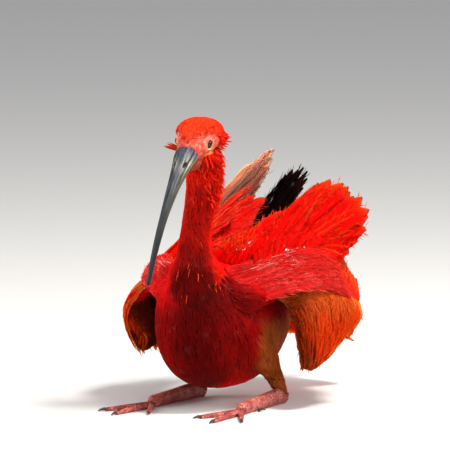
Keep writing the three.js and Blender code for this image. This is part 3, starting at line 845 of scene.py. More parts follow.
def arm_tone(p, n):
    """Painted light and shade on the feathered arm: orange glow on the outer side, dark brown
    painted shade on the inner side.
    """
    # painted light: more orange-red towards the rear and orange glow low down; dark brown painted
    # shade on the inner side, which faces the body, and low down
    tone = blend(CRIMSON, ORANGE_RED, ease(p[..., 1], 10, 40) * 0.4)
    tone = blend(tone, ORANGE, 1 - ease(p[..., 2], 60, 110))
    inner = np.maximum(ease(-n[..., 0] * np.sign(p[..., 0]), 0.4, 0.85),
                       0.7 * (1 - ease(p[..., 2], 56, 84)))
    return blend(tone, SHADE_BROWN, inner * (1 - ease(p[..., 2], 112, 140)))


TONES = dict(body=body_tone, neck=neck_tone, head=head_tone, thigh_left=thigh_tone,
             thigh_right=thigh_tone, arm_left=arm_tone, arm_right=arm_tone,
             palm_left=arm_tone, palm_right=arm_tone, shoulder_left=body_tone,
             shoulder_right=body_tone, throat=head_tone, brow=head_tone,
             orbit_left=head_tone, orbit_right=head_tone)
print("colours ready:", ", ".join(TONES))

# %% [markdown]
# The skin shows between the tufts and is bare on the face, so it carries the same
# colours, one value at each point. A painted picture could do this too, but values on
# the points need no picture, and the material can still vary them.

# %% Skin colours and flat map
skin_points = plan(points_of(skin.data))
skin_normals = np.empty(len(skin_points) * 3)
skin.data.vertices.foreach_get("normal", skin_normals)
skin_normals = skin_normals.reshape(-1, 3)
named = [region_at(place(p)) for p in skin_points]
skin_tone = np.zeros((len(skin_points), 3))
for name, tone in TONES.items():
    chosen = np.array([m[0] == name for m in named])
    if chosen.any():
        skin_tone[chosen] = tone(skin_points[chosen], skin_normals[chosen])
store_plumage(skin.data, skin_tone)
layer = skin.data.uv_layers.new(name="OFBake")
unwrapped = np.zeros((len(skin.data.loops), 2))
for polygon in skin.data.polygons:
    corners = [skin.data.vertices[v].co for v in polygon.vertices]
    mark = region_at(sum(corners, Vector()) / len(corners))
    unwrapped[list(polygon.loop_indices)] = flat_places(np.array(corners), mark)
layer.data.foreach_set("uv", unwrapped.astype(np.float32).ravel())
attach(skin, "root")
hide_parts("torso", "neck", "head", "thigh_left", "thigh_right")
print("skin coloured,", len(skin.data.polygons), "faces")

# %% [markdown]
# A wet bird's small feathers cling together in pointed tufts that lie along the body.
# Each tuft here is a thin three-sided blade that follows the skin from its root to its
# tip. Hair particles could do this, but solid tufts can be measured and exported.
# Their roots are spread evenly by taking one face of the skin from each cube of a grid.
# Each cube has its own random numbers, so a small change in one place moves no other.

# %% Roots spread over the skin
skin_tree = BVHTree.FromObject(skin, bpy.context.evaluated_depsgraph_get())
face_middles = np.empty(len(skin.data.polygons) * 3)
skin.data.polygons.foreach_get("center", face_middles)
face_middles = plan(face_middles.reshape(-1, 3))
face_marks = [region_at(place(c)) for c in face_middles]
face_region = np.array([m[0] for m in face_marks])
DRAWS = np.random.default_rng(20).random((65521, 12))


def cells(points, spacing):
    """A whole number for the small cube of space that each point lies in."""
    cell = np.floor(points / spacing + 1000).astype(np.int64)
    return (cell[:, 0] * 4000 + cell[:, 1]) * 4000 + cell[:, 2]


def drawn(keys, seed):
    """Twelve random numbers from 0 to 1 for each cube."""
    return DRAWS[(keys * 7919 + seed * 10473) % len(DRAWS)]


def spread_roots(chosen, spacing, seed):
    """Skin faces about one spacing apart: one of the chosen ones from each cube."""
    index = np.flatnonzero(chosen)
    middles = face_middles[index]
    keys = cells(middles, spacing)
    wanted = (np.floor(middles / spacing) + drawn(keys, seed)[:, 9:]) * spacing
    far = np.linalg.norm(middles - wanted, axis=1).round(3)
    order = np.lexsort((far, keys))
    return index[order[np.unique(keys[order], return_index=True)[1]]]


print(len(face_middles), "faces of skin can carry a tuft")

# %% [markdown]
# A coat looks alive when it lies the right way: down the neck and breast, back over the
# crown, outwards on the shoulders and down the hanging wings. One short function for
# each part gives that way at any place, and the tufts are laid flat along it.

# %% Which way the coat lies
def body_lie(p, n):
    """Down the breast, back over the rest."""
    front = ease(-p[:, 1], -10, 50)
    top = ease(p[:, 2], 100, 145)
    return np.stack([0.25 * np.sign(p[:, 0]) * (1 - front), 1 - 0.75 * front,
                     -0.9 + 0.6 * top * (1 - front)], -1)


def neck_lie(p, n):
    return np.tile((0.0, 0.15, -1.0), (len(p), 1))


def head_lie(p, n):
    back = (p - HEAD_MIDDLE) @ -head_forward
    return -head_forward - head_up * (0.25 + 0.9 * ease(back, 0, 30))[:, None]


def thigh_lie(p, n):
    return np.stack([0.1 * np.sign(p[:, 0]), 0 * n[:, 0] + 0.5, 0 * n[:, 0] - 1], -1)


def arm_lie(p, n):
    return np.stack([0.35 * np.sign(p[:, 0]), 0 * n[:, 0] + 0.55, 0 * n[:, 0] - 0.9], -1)


def shoulder_lie(p, n):
    return np.stack([0.8 * np.sign(p[:, 0]), 0 * n[:, 0] + 0.45, 0 * n[:, 0] - 0.4], -1)


LIES = dict(body=body_lie, neck=neck_lie, head=head_lie, throat=head_lie, brow=head_lie,
            orbit_left=head_lie, orbit_right=head_lie)
for name in WINGS:
    LIES["thigh_" + name] = thigh_lie
    LIES["arm_" + name] = LIES["palm_" + name] = arm_lie
    LIES["shoulder_" + name] = shoulder_lie
print("the coat has its own lie on", len(LIES), "parts")

# %% [markdown]
# One tuft has ten points: three thin three-sided rings and a tip. It could be a bent
# cone from an operator, but thousands of them are needed, so all are worked out
# together and joined. Slow noise leans neighbours the same way, as wet feathers cling.

# %% Tufts as thin blades
BLADE_STEPS = np.array([0.0, 0.4, 0.78, 1.0])
BLADE_WIDTHS = np.array([0.55, 1.0, 0.62])
TUFT_FACES = [(6, 7, 9), (7, 8, 9), (8, 6, 9), (0, 2, 1)]
for a in (0, 3):
    for j in range(3):
        i, k = a + j, a + (j + 1) % 3
        TUFT_FACES += [(i, k, k + 3), (i, k + 3, i + 3)]
TUFT_FACES = np.array(TUFT_FACES)


def nearest_skin(points):
    """Nearest places on the skin and their normals, in the plan."""
    found = [skin_tree.find_nearest(q) for q in place(points)]
    return (plan(np.array([f[0] for f in found])), np.array([f[1] for f in found]))


def blades(paths, normals, wide):
    """Ten points of a thin three-sided blade along each path of four points."""
    along_path = unit(np.gradient(paths, axis=1))
    across = unit(np.cross(along_path, normals))
    w = wide[:, None, None] * BLADE_WIDTHS[None, :, None]
    base = paths[:, :3]
    left = base - across[:, :3] * w - normals[:, :3] * 0.25 * wide[:, None, None]
    right = base + across[:, :3] * w - normals[:, :3] * 0.25 * wide[:, None, None]
    ridge = base + normals[:, :3] * 0.6 * w
    rings = np.stack([left, ridge, right], 2).reshape(len(paths), 9, 3)
    return np.concatenate([rings, paths[:, 3:]], 1)


def slow_noise(points, scale, shift=0.0):
    return np.array([noise.noise_vector(q) for q in points * scale + shift])


def grow_tufts(faces, length, width, rise, gather=0.5, seed=1, tuck=0.5, tone=None,
               lies=LIES, streak=0.22, fleck=0.0, grain=(0.28, 0.28, 0.035)):
    """Tufts rooted on skin faces. Length, width and rise are functions of the places."""
    count = len(faces)
    draw = drawn(cells(face_middles[faces], 0.7), seed + 50)
    p, n = nearest_skin(face_middles[faces] + (draw[:, :3] - 0.5) * 1.2)
    region = face_region[faces]
    lie, shade = np.zeros((count, 3)), np.zeros((count, 3))
    for name in np.unique(region):
        chosen = region == name
        lie[chosen] = unit(lies[name](p[chosen], n[chosen]))
        shade[chosen] = (tone or TONES[name])(p[chosen], n[chosen])
    lie += slow_noise(p, 0.07) * gather + slow_noise(p, 0.25, 40) * gather * 0.6
    lie += (draw[:, 3:6] - 0.5) * 0.2
    lie = unit(lie - n * (lie * n).sum(-1, keepdims=True))
    long = length(p) * (0.8 + 0.45 * draw[:, 6])
    lift = rise(p) * (0.6 + 0.8 * draw[:, 7])
    wide = width(p) * (0.8 + 0.45 * draw[:, 8]) / 2
    paths, normals = [], []
    for s in BLADE_STEPS:
        q = p + lie * (long * s)[:, None]
        near, m = nearest_skin(q)
        height = 0.2 + long * lift * s + wide * 0.5 * (1 - s) - tuck * (s == 0)
        follow = np.minimum(1, lift * 2)[:, None] * s
        paths.append(near + (q - near) * follow + m * height[:, None])
        normals.append(m)
    shape = blades(np.stack(paths, 1), np.stack(normals, 1), wide)
    root = np.array([flat_places(place(p[i])[None], face_marks[f])[0]
                     for i, f in enumerate(faces)])
    bands = np.array([noise.noise(q) for q in p * grain])
    shade = shade * ((0.82 + 0.34 * draw[:, 9]) * (1 + streak * 2 * bands))[:, None]
    shade = blend(shade, ink(246, 92, 30), 0.7 * (draw[:, 10] < fleck))
    return dict(shape=shape, shade=shade, root=root, long=long, wide=wide)


def tuft_mesh(name, groups, dark=0.84):
    """One mesh out of groups of tufts."""
    tufts = {key: np.concatenate([g[key] for g in groups]) for key in groups[0]}
    count = len(tufts["shape"])
    faces = (TUFT_FACES[None] + (np.arange(count) * 10)[:, None, None]).reshape(-1, 3)
    u = np.array([-1, 0, 1] * 3 + [0.0])
    v = np.array([0] * 3 + [0.4] * 3 + [0.78] * 3 + [1.0])
    bake = tufts["root"][:, None] + np.stack([u, v * 2 - 1], -1)[None] * PATCH / 2
    vane = np.stack([u[None] * tufts["wide"][:, None] / 1000
                     + 0.02 * np.arange(count)[:, None],
                     v[None] * tufts["long"][:, None] / 1000], -1)
    # painted shade at the roots of the tufts, where they lie under their neighbours, and painted
    # light at their tips
    shade = tufts["shade"][:, None] * (dark + (1.1 - dark) * v)[None, :, None]
    mesh = bpy.data.meshes.new(name)
    build_mesh(mesh, place(tufts["shape"].reshape(-1, 3)), faces)
    add_maps(mesh, dict(OFBake=bake.reshape(-1, 2), Vane=vane.reshape(-1, 2)),
             shade.reshape(-1, 3))
    obj = new_object(name, mesh)
    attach(obj, "root")
    print(name, count, "tufts,", len(mesh.polygons), "faces")
    return obj


print("one tuft has", len(TUFT_FACES), "faces")

# %% [markdown]
# The coat differs from part to part: long and flat on the breast, tiny on the crown,
# spiky on the nape and cheeks, and almost missing on the bare face. Small functions say
# how long and how raised a tuft is at each place.

# %% Length and rise of the coat
def body_length(p):
    return 17 + 7 * ease(40 - p[:, 2], 0, 30) - 4 * ease(p[:, 2], 100, 150)


def ruff_share(p):
    """1 where the wet nape and cheek feathers stand out in spikes."""
    f, l, u = on_head_places(p)
    low = np.where(l > 0, ease(2 - u, 0, 6), ease(-u, 8, 14))
    return ease(-f, -3, 6) * low * ease(np.abs(l), 8, 14)


def cheek_share(p):
    """1 where the cheek feathers stick straight out, below and behind the eye."""
    f, l, u = on_head_places(p)
    out = np.where(l > 0, ease(-f, 7, 11), 1.0)
    return np.exp(-((f + 9) / 6)**2 - ((u + 18) / 5.5)**2) * ease(np.abs(l), 7, 11) * out


def cheek_rise(p):
    """They stick straight out on the right, and half lie down on the left."""
    return np.where((p - HEAD_MIDDLE) @ head_left > 0, 0.35, 1.1)


def cheek_lie(p, n):
    """The cheek feathers hang on the left and are blown outwards on the right."""
    left = ((p - HEAD_MIDDLE) @ head_left > 0)[:, None]
    return np.where(left, head_left - head_up * 1.2, head_up * -0.6 - head_left) \
        - head_forward * 0.1


ruff_side = unit(np.array([0.9, 0.25, 0]))


def nape_lift(p):
    """The wet feathers at the back and left of the neck stand out in spikes."""
    out = ease((p - NECK_LINE(0.8)) @ ruff_side, 4, 13)
    return 0.05 + 0.6 * out * ease(p[:, 2], 200, 232)


print("the nape's spikes point to", ruff_side.round(2))

# %% [markdown]
# With these functions one list can grow every part. Each part is one mesh, and a part
# may hold several groups of tufts, such as the flat feathers and the spikes of the neck.
# They could be grown by hand-placed guides, but faces chosen by rule cover all evenly.

# %% Coat of every part
def flat(value):
    """The same value everywhere."""
    return lambda p: np.full(len(p), float(value))


def one_tone(colour):
    """The same colour everywhere."""
    return lambda p, n=None: np.repeat(colour[None], len(p), 0)


coat = {}
body_faces = (face_region == "body") | np.char.startswith(face_region, "shoulder")
thigh_faces = np.char.startswith(face_region, "thigh")
arm_faces = np.char.startswith(face_region, "arm") | np.char.startswith(face_region, "palm")
head_parts = np.isin(face_region, ["head", "throat", "brow", "orbit_left", "orbit_right"])
chance = drawn(cells(face_middles, 0.9), 9)[:, 0]
feathered = head_parts & (bare_share(face_middles) < chance * 0.9)
flecks = head_parts & (bare_share(face_middles) > 0.4) & (chance < 0.12)
coat["body_tufts"] = [grow_tufts(spread_roots(body_faces, 2.4, 1), body_length, flat(2.7),
                                 flat(0.045), gather=0.4, seed=1)]
coat["neck_tufts"] = [grow_tufts(
    spread_roots(face_region == "neck", 1.8, 2),
    lambda p: 11 - 2 * ease(p[:, 2], 200, 250), flat(1.9), nape_lift, gather=0.4, seed=2,
    fleck=0.012)]
nape_faces = (face_region == "neck") & (nape_lift(face_middles) > 0.2)
coat["neck_tufts"].append(grow_tufts(
    spread_roots(nape_faces, 4.2, 12), flat(7), flat(2.6), flat(0.9), gather=0.6, seed=12,
    tone=one_tone(ink(238, 40, 16))))
coat["head_tufts"] = [
    grow_tufts(spread_roots(feathered, 1.15, 3), lambda p: 5.2 + 2.0 * ruff_share(p),
               lambda p: 1.1 + 0.4 * ruff_share(p), lambda p: 0.09 + 0.36 * ruff_share(p),
               gather=0.4, seed=3, tuck=0.3, streak=0.4, fleck=0.05, grain=(0.5, 0.5, 0.4)),
    grow_tufts(spread_roots(feathered & (ruff_share(face_middles) > 0.6), 2.6, 13),
               flat(8.5), flat(1.8), flat(0.7), gather=0.5, seed=13, tuck=0.3, fleck=0.1),
    grow_tufts(spread_roots(head_parts & (cheek_share(face_middles) > 0.4), 0.9, 15),
               flat(10), flat(4.4), cheek_rise, gather=0.4, seed=15, tuck=0.3,
               lies=dict.fromkeys(LIES, cheek_lie), fleck=0.1),
    grow_tufts(spread_roots(flecks, 1.6, 14), flat(1.8), flat(0.6), flat(0.05), gather=0.8,
               seed=14, tuck=0.2, tone=one_tone(ink(240, 122, 96))),
]
coat["thigh_tufts"] = [grow_tufts(spread_roots(thigh_faces, 2.1, 4),
                                  lambda p: 13 + 5 * ease(p[:, 2], 20, 60), flat(2.3),
                                  flat(0.08), gather=0.5, seed=4)]
coat["arm_tufts"] = [grow_tufts(spread_roots(arm_faces, 2.2, 5), flat(11), flat(2.4),
                                flat(0.06), gather=0.35, seed=5)]
coat_objects = {name: tuft_mesh(name, tufts) for name, tufts in coat.items()}

# %% [markdown]
# The wing's small feathers lie on smooth surfaces: a cape over the upper arm, and a
# drooping hood over the bent wrist. Each is held by four edge curves, like cloth on a
# frame. A modelled sheet could carry them too, but then every feather would need to be
# placed by hand. The tips of the long feathers are given as curves in the same table.

# %% Sheets that carry the feather rows
SHEETS = {
    "left": dict(
        hood=dict(top=[(66, -4, 114), (78, 18, 122), (92, 40, 122), (106, 62, 112),
                       (113, 80, 102)],
                  bottom=[(90, 4, 40), (96, 22, 41), (99, 46, 54)],
                  front=[(66, -4, 114), (76, 8, 102), (83, 8, 84), (88, 6, 62), (90, 4, 40)],
                  rear=[(113, 80, 102), (115, 76, 88), (109, 68, 74), (103, 57, 62), (99, 46, 54)],
                  outward=(0.92, -0.25, 0.3), bulge=7),
        cape=dict(top=[(22, -26, 140), (44, -4, 145), (64, 22, 156), (84, 47, 160)],
                  bottom=[(54, -20, 106), (76, 2, 116), (95, 28, 118), (108, 58, 111),
                          (112, 84, 88)],
                  front=[(22, -26, 140), (40, -28, 124), (54, -20, 106)],
                  rear=[(84, 47, 160), (97, 60, 144), (106, 73, 116), (112, 84, 88)],
                  outward=(0.5, -0.4, 0.75), bulge=6),
        scapulars=dict(roots=[(4, -14, 146), (18, -10, 143), (32, 0, 138), (42, 8, 140)],
                       tips=[(20, 22, 166), (26, 46, 180), (34, 76, 192), (44, 104, 206),
                             (52, 124, 217)]),
        tertials=[(38, 76, 176), (44, 104, 192), (51, 124, 206), (57, 138, 213), (64, 141, 206),
                  (71, 141, 196), (80, 142, 190), (81, 140, 178), (77, 124, 162),
                  (72, 104, 152)],
        primaries=[(25, 131, 126), (13, 168, 138), (5, 200, 148), (1, 216, 152), (0, 227, 149)],
    ),
    "right": dict(
        hood=dict(top=[(70, -8, 118), (86, 8, 120), (98, 28, 116), (108, 50, 108),
                       (112, 72, 98)],
                  bottom=[(92, -4, 52), (98, 20, 44), (98, 50, 46)],
                  front=[(70, -8, 118), (88, -3, 106), (101, -4, 88), (100, -5, 70), (92, -4, 52)],
                  rear=[(112, 72, 98), (113, 72, 86), (110, 68, 72), (104, 60, 58), (98, 50, 46)],
                  outward=(0.92, -0.25, 0.3), bulge=7),
        cape=dict(top=[(22, -26, 138), (44, -4, 137), (60, 22, 141), (76, 46, 140)],
                  bottom=[(56, -20, 106), (78, -2, 116), (96, 22, 114), (108, 50, 108),
                          (115, 78, 94)],
                  front=[(22, -26, 138), (42, -28, 122), (56, -20, 106)],
                  rear=[(76, 46, 140), (96, 62, 130), (110, 74, 110), (115, 78, 94)],
                  outward=(0.5, -0.4, 0.75), bulge=6),
        scapulars=dict(roots=[(2, -12, 147), (18, -8, 143), (34, 0, 137)],
                       tips=[(6, 44, 160), (4, 66, 172), (4, 90, 185), (8, 104, 197),
                             (12, 84, 206), (10, 62, 208)]),
        tertials=[(2, 34, 196), (6, 50, 206), (10, 66, 212), (14, 86, 211), (20, 106, 207)],
        primaries=[(24, 128, 176), (14, 150, 203), (7, 172, 220), (2, 190, 222),
                   (3, 206, 212), (8, 220, 197)],
    ),
}


def sheet(plan_of, side):
    """A smooth surface between four edge curves, swollen outwards in the middle."""
    flip = np.array([side, 1, 1])
    top, bottom, front, rear = (curve(np.array(plan_of[k], float) * flip)
                                for k in ("top", "bottom", "front", "rear"))
    outward = unit(np.array(plan_of["outward"]) * flip)

    def at(a, b):
        a, b = np.broadcast_arrays(np.asarray(a, float), np.asarray(b, float))
        u, v = a[..., None], b[..., None]
        corners = ((1 - u) * (1 - v) * top(0.0) + u * (1 - v) * top(1.0)
                   + (1 - u) * v * bottom(0.0) + u * v * bottom(1.0))
        point = ((1 - v) * top(a) + v * bottom(a) + (1 - u) * front(b) + u * rear(b)
                 - corners)
        swell = np.clip(16 * u * (1 - u) * v * (1 - v), 0, 1)
        return point + outward * plan_of["bulge"] * swell

    return at, outward


print("sheets and curves are given for the wings", ", ".join(SHEETS))

# %% [markdown]
# Wet vanes end in loose barbs, and long hair-like strands lie over the cape. Both are
# thin blades rooted on a vane or on a sheet. Without them every edge would look cut out
# with scissors.

# %% Loose barbs and strands
def fringe(row, per, long, wide, tone, seed):
    """Thin barbs that leave the edges of each vane of a row."""
    local = np.random.default_rng(seed)
    count, stations = row["top"].shape[:2]
    i = np.repeat(np.arange(count), per)
    n = len(i)
    s = local.uniform(0.4, 1, n)
    k = np.clip((s * (stations - 1)).astype(int), 1, stations - 2)
    edge = np.where(local.random(n) < 0.5, 1, -2)
    side = np.where(edge == 1, -1.0, 1.0)
    root = row["top"][i, k, edge]
    way, across, facing = row["way"][i, k], row["across"][i, k], row["facing"][i, k]
    lead = unit(way * 1.0 + across * (side * local.uniform(0.15, 0.8, n))[:, None]
                + facing * local.normal(0, 0.16, n)[:, None])
    length = long * local.uniform(0.5, 1.3, n)
    paths = np.stack([root + lead * (length * x)[:, None]
                      + way * (length * 0.25 * x * x)[:, None] for x in BLADE_STEPS], 1)
    width = wide * local.uniform(0.7, 1.3, n)
    shape = blades(paths, np.repeat(facing[:, None], 4, 1), width)
    shade = np.stack([tone(j, np.array([1.0]), np.array([1.0]))[0] for j in i])
    return dict(shape=shape, shade=shade * local.uniform(0.8, 1.2, (n, 1)),
                root=np.array(row["bake"])[i], long=length, wide=width)


def strands(at, outward, count, reach, drift, wide, tone, seed, a_range=(0, 0.8),
            b_range=(0, 1), lift=3.0):
    """Long wet strands that lie along a sheet."""
    local = np.random.default_rng(seed)
    a0 = local.uniform(*a_range, count)
    b0 = local.uniform(*b_range, count)
    turn = drift + local.normal(0, 0.07, count)
    stretch = reach * local.uniform(0.5, 1.2, count)
    paths = np.stack([at(np.minimum(a0 + stretch * x, 1.02),
                         np.clip(b0 + turn * x * stretch / reach, 0, 1.03))
                      + outward * (lift + 1.5 * math.sin(math.pi * x))
                      for x in BLADE_STEPS], 1)
    width = wide * local.uniform(0.6, 1.4, count)
    normals = np.repeat(np.repeat(outward[None], count, 0)[:, None], 4, 1)
    shade = tone(paths[:, 0]) * local.uniform(0.8, 1.2, (count, 1))
    root = bake_places(paths[:, 0])
    return dict(shape=blades(paths, normals, width), shade=shade, root=root,
                long=np.linalg.norm(paths[:, 3] - paths[:, 0], axis=1), wide=width)


def bake_places(points):
    return np.array([flat_places(q[None], region_at(q))[0] for q in place(points)])


print("a barb or a strand has", len(BLADE_STEPS), "steps")

# %% [markdown]
# The fan is red with orange-red tips and edges, painted light shining through them, the
# far secondaries glow pale where light shines through them, and only the primaries end
# in black. The hood is painted bright orange where the sun falls on it and dark brown
# in painted shade. A tone is a small function of the feather's number and of the place
# along and across it, so each row can have its own.

# %% Colours of the wing feathers
def span(wing, k0, k1, c):
    return lambda t: on_arm(wing, mix(k0, k1, t), np.full(np.shape(t), c))


def own_shade(i, amount):
    """A small fixed difference of lightness from feather to feather."""
    return 1 - amount + 2 * amount * ((i * 7919) % 13) / 12


def plain_tone(colour, edge=None, start=0.6):
    edge = colour if edge is None else edge

    # the edge colour, lighter than the middle, is painted light along thin tips and edges: light
    # shining through them, and on the cape a wet sheen
    def tone(i, s, u):
        base = blend(np.broadcast_to(colour, s.shape + (3,)), edge,
                     np.maximum(ease(s, start, 1), ease(np.abs(u), 0.6, 1) * 0.6))
        return base * own_shade(i, 0.1)

    return tone


def pale_ends(i, s, u):
    """Deep red near the body, pale pink where light shines through the outer vanes."""
    thin = blend(ink(255, 158, 124), ink(255, 82, 50), min(1, i / 6))
    return blend(np.broadcast_to(ink(252, 24, 20), s.shape + (3,)), thin, ease(s, 0.25, 0.55))


def black_ends(from_s):
    def tone(i, s, u):
        return blend(np.broadcast_to(SCARLET, s.shape + (3,)), BLACK,
                     ease(s, from_s, from_s + 0.14))

    return tone


def hood_tone(b, dark):
    """Painted light and shade on the hood: bright orange at the top, where the sun falls, and dark
    brown painted shade at the wrist.
    """
    def tone(i, s, u):
        a = i / 19
        level = np.clip(b + 0.3 * s, 0, 1)
        base = blend(np.broadcast_to(ink(255, 108, 42), s.shape + (3,)), ink(255, 58, 12),
                     ease(level, 0, 0.5))
        # dark sets how much dark brown painted shade the hood gets
        base = blend(base, SHADE_BROWN, ease(level * 0.6 + 1.0 * (1 - a), 0.76, 1.2) * dark)
        return base * own_shade(i, 0.08)

    return tone


def hood_strand_tone(q):
    # painted light and shade: lighter orange higher up, and dark brown painted shade at the front
    # of the left hood
    tone = blend(ink(255, 84, 30), ink(255, 54, 12), 1 - ease(q[:, 2], 88, 116))
    front = 1 - ease(q[:, 1] + 0.1 * (q[:, 2] - 60), 6, 30)
    return blend(tone, SHADE_BROWN, front * np.where(q[:, 0] > 0, 0.85, 0.1))


print("lightest feather over darkest:", round(own_shade(6, 0.1) / own_shade(0, 0.1), 2))

# %% [markdown]
# The long feathers of each wing are hung along the feathered arm. Their tips lie on
# smooth curves, so a fan opens by itself. Scapulars and tertials stand up behind the
# shoulder, the wet cape lies over the upper arm, the secondaries and primaries stack
# below, and many short coverts make the drooping hood over the bent wrist.

# %% Feather rows of the wings
HOOD_TIERS = (0.68, 0.54, 0.4, 0.27, 0.13, -0.02)
CAPE_TIERS = ((0.52, 0.46), (0.34, 0.46), (0.16, 0.44), (-0.02, 0.42))
QUILL_SHAPE = [(0, 0.4), (0.1, 0.7), (0.35, 1), (0.66, 0.9), (0.88, 0.62), (1, 0.1)]


def wing_rows(name):
    wing, sheets = WINGS[name], SHEETS[name]
    side = wing["side"]
    left = name == "left"
    flip = np.array([side, 1, 1])
    rows, loose = [], []

    def add(path, outward, width, count, tone, barbs=0, barb_length=7, **more):
        row = vane_row(path, outward, width, count, seed=len(rows) * 7 + 3 + left, **more)
        row["tone"] = tone
        row["bake"] = list(bake_places(row["roots"]))
        rows.append(row)
        if barbs:
            loose.append(fringe(row, barbs, barb_length, 0.35, tone, len(rows) * 11 + left))

    tips = {key: curve(np.array(sheets[key], float) * flip) for key in ("tertials", "primaries")}
    tips["secondaries"] = curve(wing["secondaries"])
    lift = wing["tertial_lift"]
    up = (side * 0.35, -0.35, 0.87)
    # painted light: the fan's lighter orange tips and edges stand for sun shining through them,
    # and the right wing's fan is painted a little lighter
    fan = plain_tone(ink(248, 8, 6), ink(254, 40, 14), 0.8)
    if not left:
        fan = plain_tone(ink(255, 18, 14), ink(255, 34, 22), 0.8)
    crest = sheets["scapulars"]
    crest_roots, crest_tips = (curve(np.array(crest[k], float) * flip) for k in ("roots", "tips"))
    for share, count, lift_by in ((1, 13, 0), (0.66, 13, 1.5), (0.4, 13, 3)):
        add(straight(crest_roots, crest_tips, up, 6, share=share), up, 16, count, fan,
            barbs=16, barb_length=9, lift=lift_by, tip_lift=lift_by + 1.5, step=0.25,
            ragged=0.2, stray=1.6, uneven=0.15, stations=20, spread=0.3)
    add(straight(span(wing, 0.04, 0.46, 0.72), tips["tertials"], up, 5), up, 20, 17, fan,
        barbs=22, barb_length=10, lift=lift, tip_lift=lift * 1.6, step=0.5, ragged=0.2,
        stray=1.6, uneven=0.08, spread=0.2)
    for share, lift_by in ((0.62, 3), (0.4, 4.5)):
        add(straight(span(wing, 0.02, 0.44, 0.7), tips["tertials"], up, 6, share=share), up,
            13, 20, plain_tone(SCARLET), barbs=9, lift=lift + lift_by,
            tip_lift=lift + lift_by, step=0.2, ragged=0.2, stray=1.5, uneven=0.2,
            stations=16, spread=0.3)
    cape_at, cape_out = sheet(sheets["cape"], side)
    # the lighter pink edges of the cape's feathers are a painted wet sheen
    cape_tone = plain_tone(ink(255, 34, 34), ink(255, 52, 46))
    for tier, (a0, length) in enumerate(CAPE_TIERS):
        add(lambda t, x, a0=a0, length=length: cape_at(
            a0 + length * x[None] + 0 * t[:, None],
            0.02 + 0.88 * t[:, None] + 0.14 * (1 - t[:, None]) * x[None]),
            cape_out, 11, 12, cape_tone, barbs=12, barb_length=9, lift=1 + tier,
            tip_lift=2 + tier, step=0.12, ragged=0.35, stray=1.8, uneven=0.15, stations=18,
            spread=0.3, cup=0.8)
    # the pale pink strands near the shoulder are painted wet highlights, and the many red ones are
    # plain feather colour
    for tone, count, seed, ends in ((ink(255, 140, 130), 26, 4, (0.0, 0.3)),
                                    (ink(255, 36, 32), 420, 5, (-0.05, 0.72))):
        loose.append(strands(cape_at, cape_out, count, 0.42, 0.12, 0.5, one_tone(tone),
                             seed + left, b_range=(0.02, 0.98), a_range=ends, lift=5))
    hood_at, hood_out = sheet(sheets["hood"], side)
    # the left hood gets much dark brown painted shade, the right one little
    for tier, b0 in enumerate(HOOD_TIERS):
        add(lambda t, x, b0=b0: hood_at(
            0.02 + 0.96 * t[:, None] + 0.05 * x[None], b0 + 0.34 * x[None] + 0 * t[:, None]),
            hood_out, 7, 20, hood_tone(b0, 0.9 if left else 0.1), barbs=7, barb_length=6,
            lift=0.5 + tier * 0.4, tip_lift=0.9 + tier * 0.4, step=0.02, ragged=0.3,
            stray=1.4, uneven=0.3, stations=12, columns=7, spread=0.45, cup=0.4,
            thick=0.3)
    for count, seed in ((380, 6), (200, 8)):
        loose.append(strands(hood_at, hood_out, count, 0.05, 0.3, 0.5, hood_strand_tone,
                             seed + left, a_range=(0.0, 0.98), b_range=(0.0, 0.72),
                             lift=3.4))
    rear = plain_tone(SCARLET, ORANGE_RED) if left else pale_ends
    add(straight(span(wing, 0.5, 0.86, 0.74), tips["secondaries"], (side, 0, 0.2), 5,
                 share=0.92 if left else 1.01), (side, 0, 0.2), 29, 12, rear, barbs=18,
        barb_length=9, step=1.5, ragged=0.2, stray=0.5)
    palm = curve([mix(wing["wrist"], wing["hand"], x) + (0, 0, 1) for x in (0.16, 0.58, 1)])
    out = (side, 0, 0.25)
    add(straight(palm, tips["primaries"], out, -5), out, 24, 14, black_ends(0.38), barbs=40,
        barb_length=9, step=1.0, ragged=0.18, stray=1.2, uneven=0.06, shape=QUILL_SHAPE)
    add(straight(palm, tips["primaries"], out, -4, share=0.36), out, 18, 8,
        plain_tone(SCARLET), barbs=8, lift=5.5, tip_lift=9, step=1.1)
    return rows, loose


print("the hood has", len(HOOD_TIERS), "tiers of coverts, and the cape", len(CAPE_TIERS))

# %% [markdown]
# Each wing becomes two meshes, its vanes and its loose barbs. One mesh would do, but the
# barbs have other faces and no part in the wing's form.

# %% Dressed wings
wing_objects = {}
for name in WINGS:
    rows, loose = wing_rows(name)
    obj = vane_mesh("wing_feathers_" + name, rows)
    barbs = tuft_mesh("wing_barbs_" + name, loose, dark=0.95)
    wing_objects[name], wing_objects[name + " barbs"] = obj, barbs
    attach(obj, "root")
    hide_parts("wing_" + name, "hand_" + name)
    print(name, "wing:", len(obj.data.polygons), "faces")

# %% [markdown]
# The tail is a short fan of twelve nearly equal feathers, with coverts over their roots.
# It is hung like the wings' fans, one half at a time, so that the middle pair lies on
# top as it does on the bird.

# %% Tail feathers
TAIL_ROOT = np.array([0, 112, 82.0])
TAIL_TIP = np.array([0, 206, 50.0])


def tail_row(side, share, across, lift, width, count, seed):
    def roots(t):
        return TAIL_ROOT + np.stack([side * (3 + 11 * t), 0 * t - 6, 0 * t + lift * 0.3], -1)

    def tips(t):
        return mix(TAIL_ROOT, TAIL_TIP, share) + np.stack(
            [side * (5 + across * t * share), -9 * t**2, 0 * t + lift], -1)

    row = vane_row(straight(roots, tips, (0, 0.3, 1), 4), (0, 0.3, 1), width, count,
                   step=1.0, turn=-1, seed=seed)
    row["tone"] = plain_tone(SCARLET, ORANGE_RED, 0.8)
    row["bake"] = list(bake_places(row["roots"]))
    return row


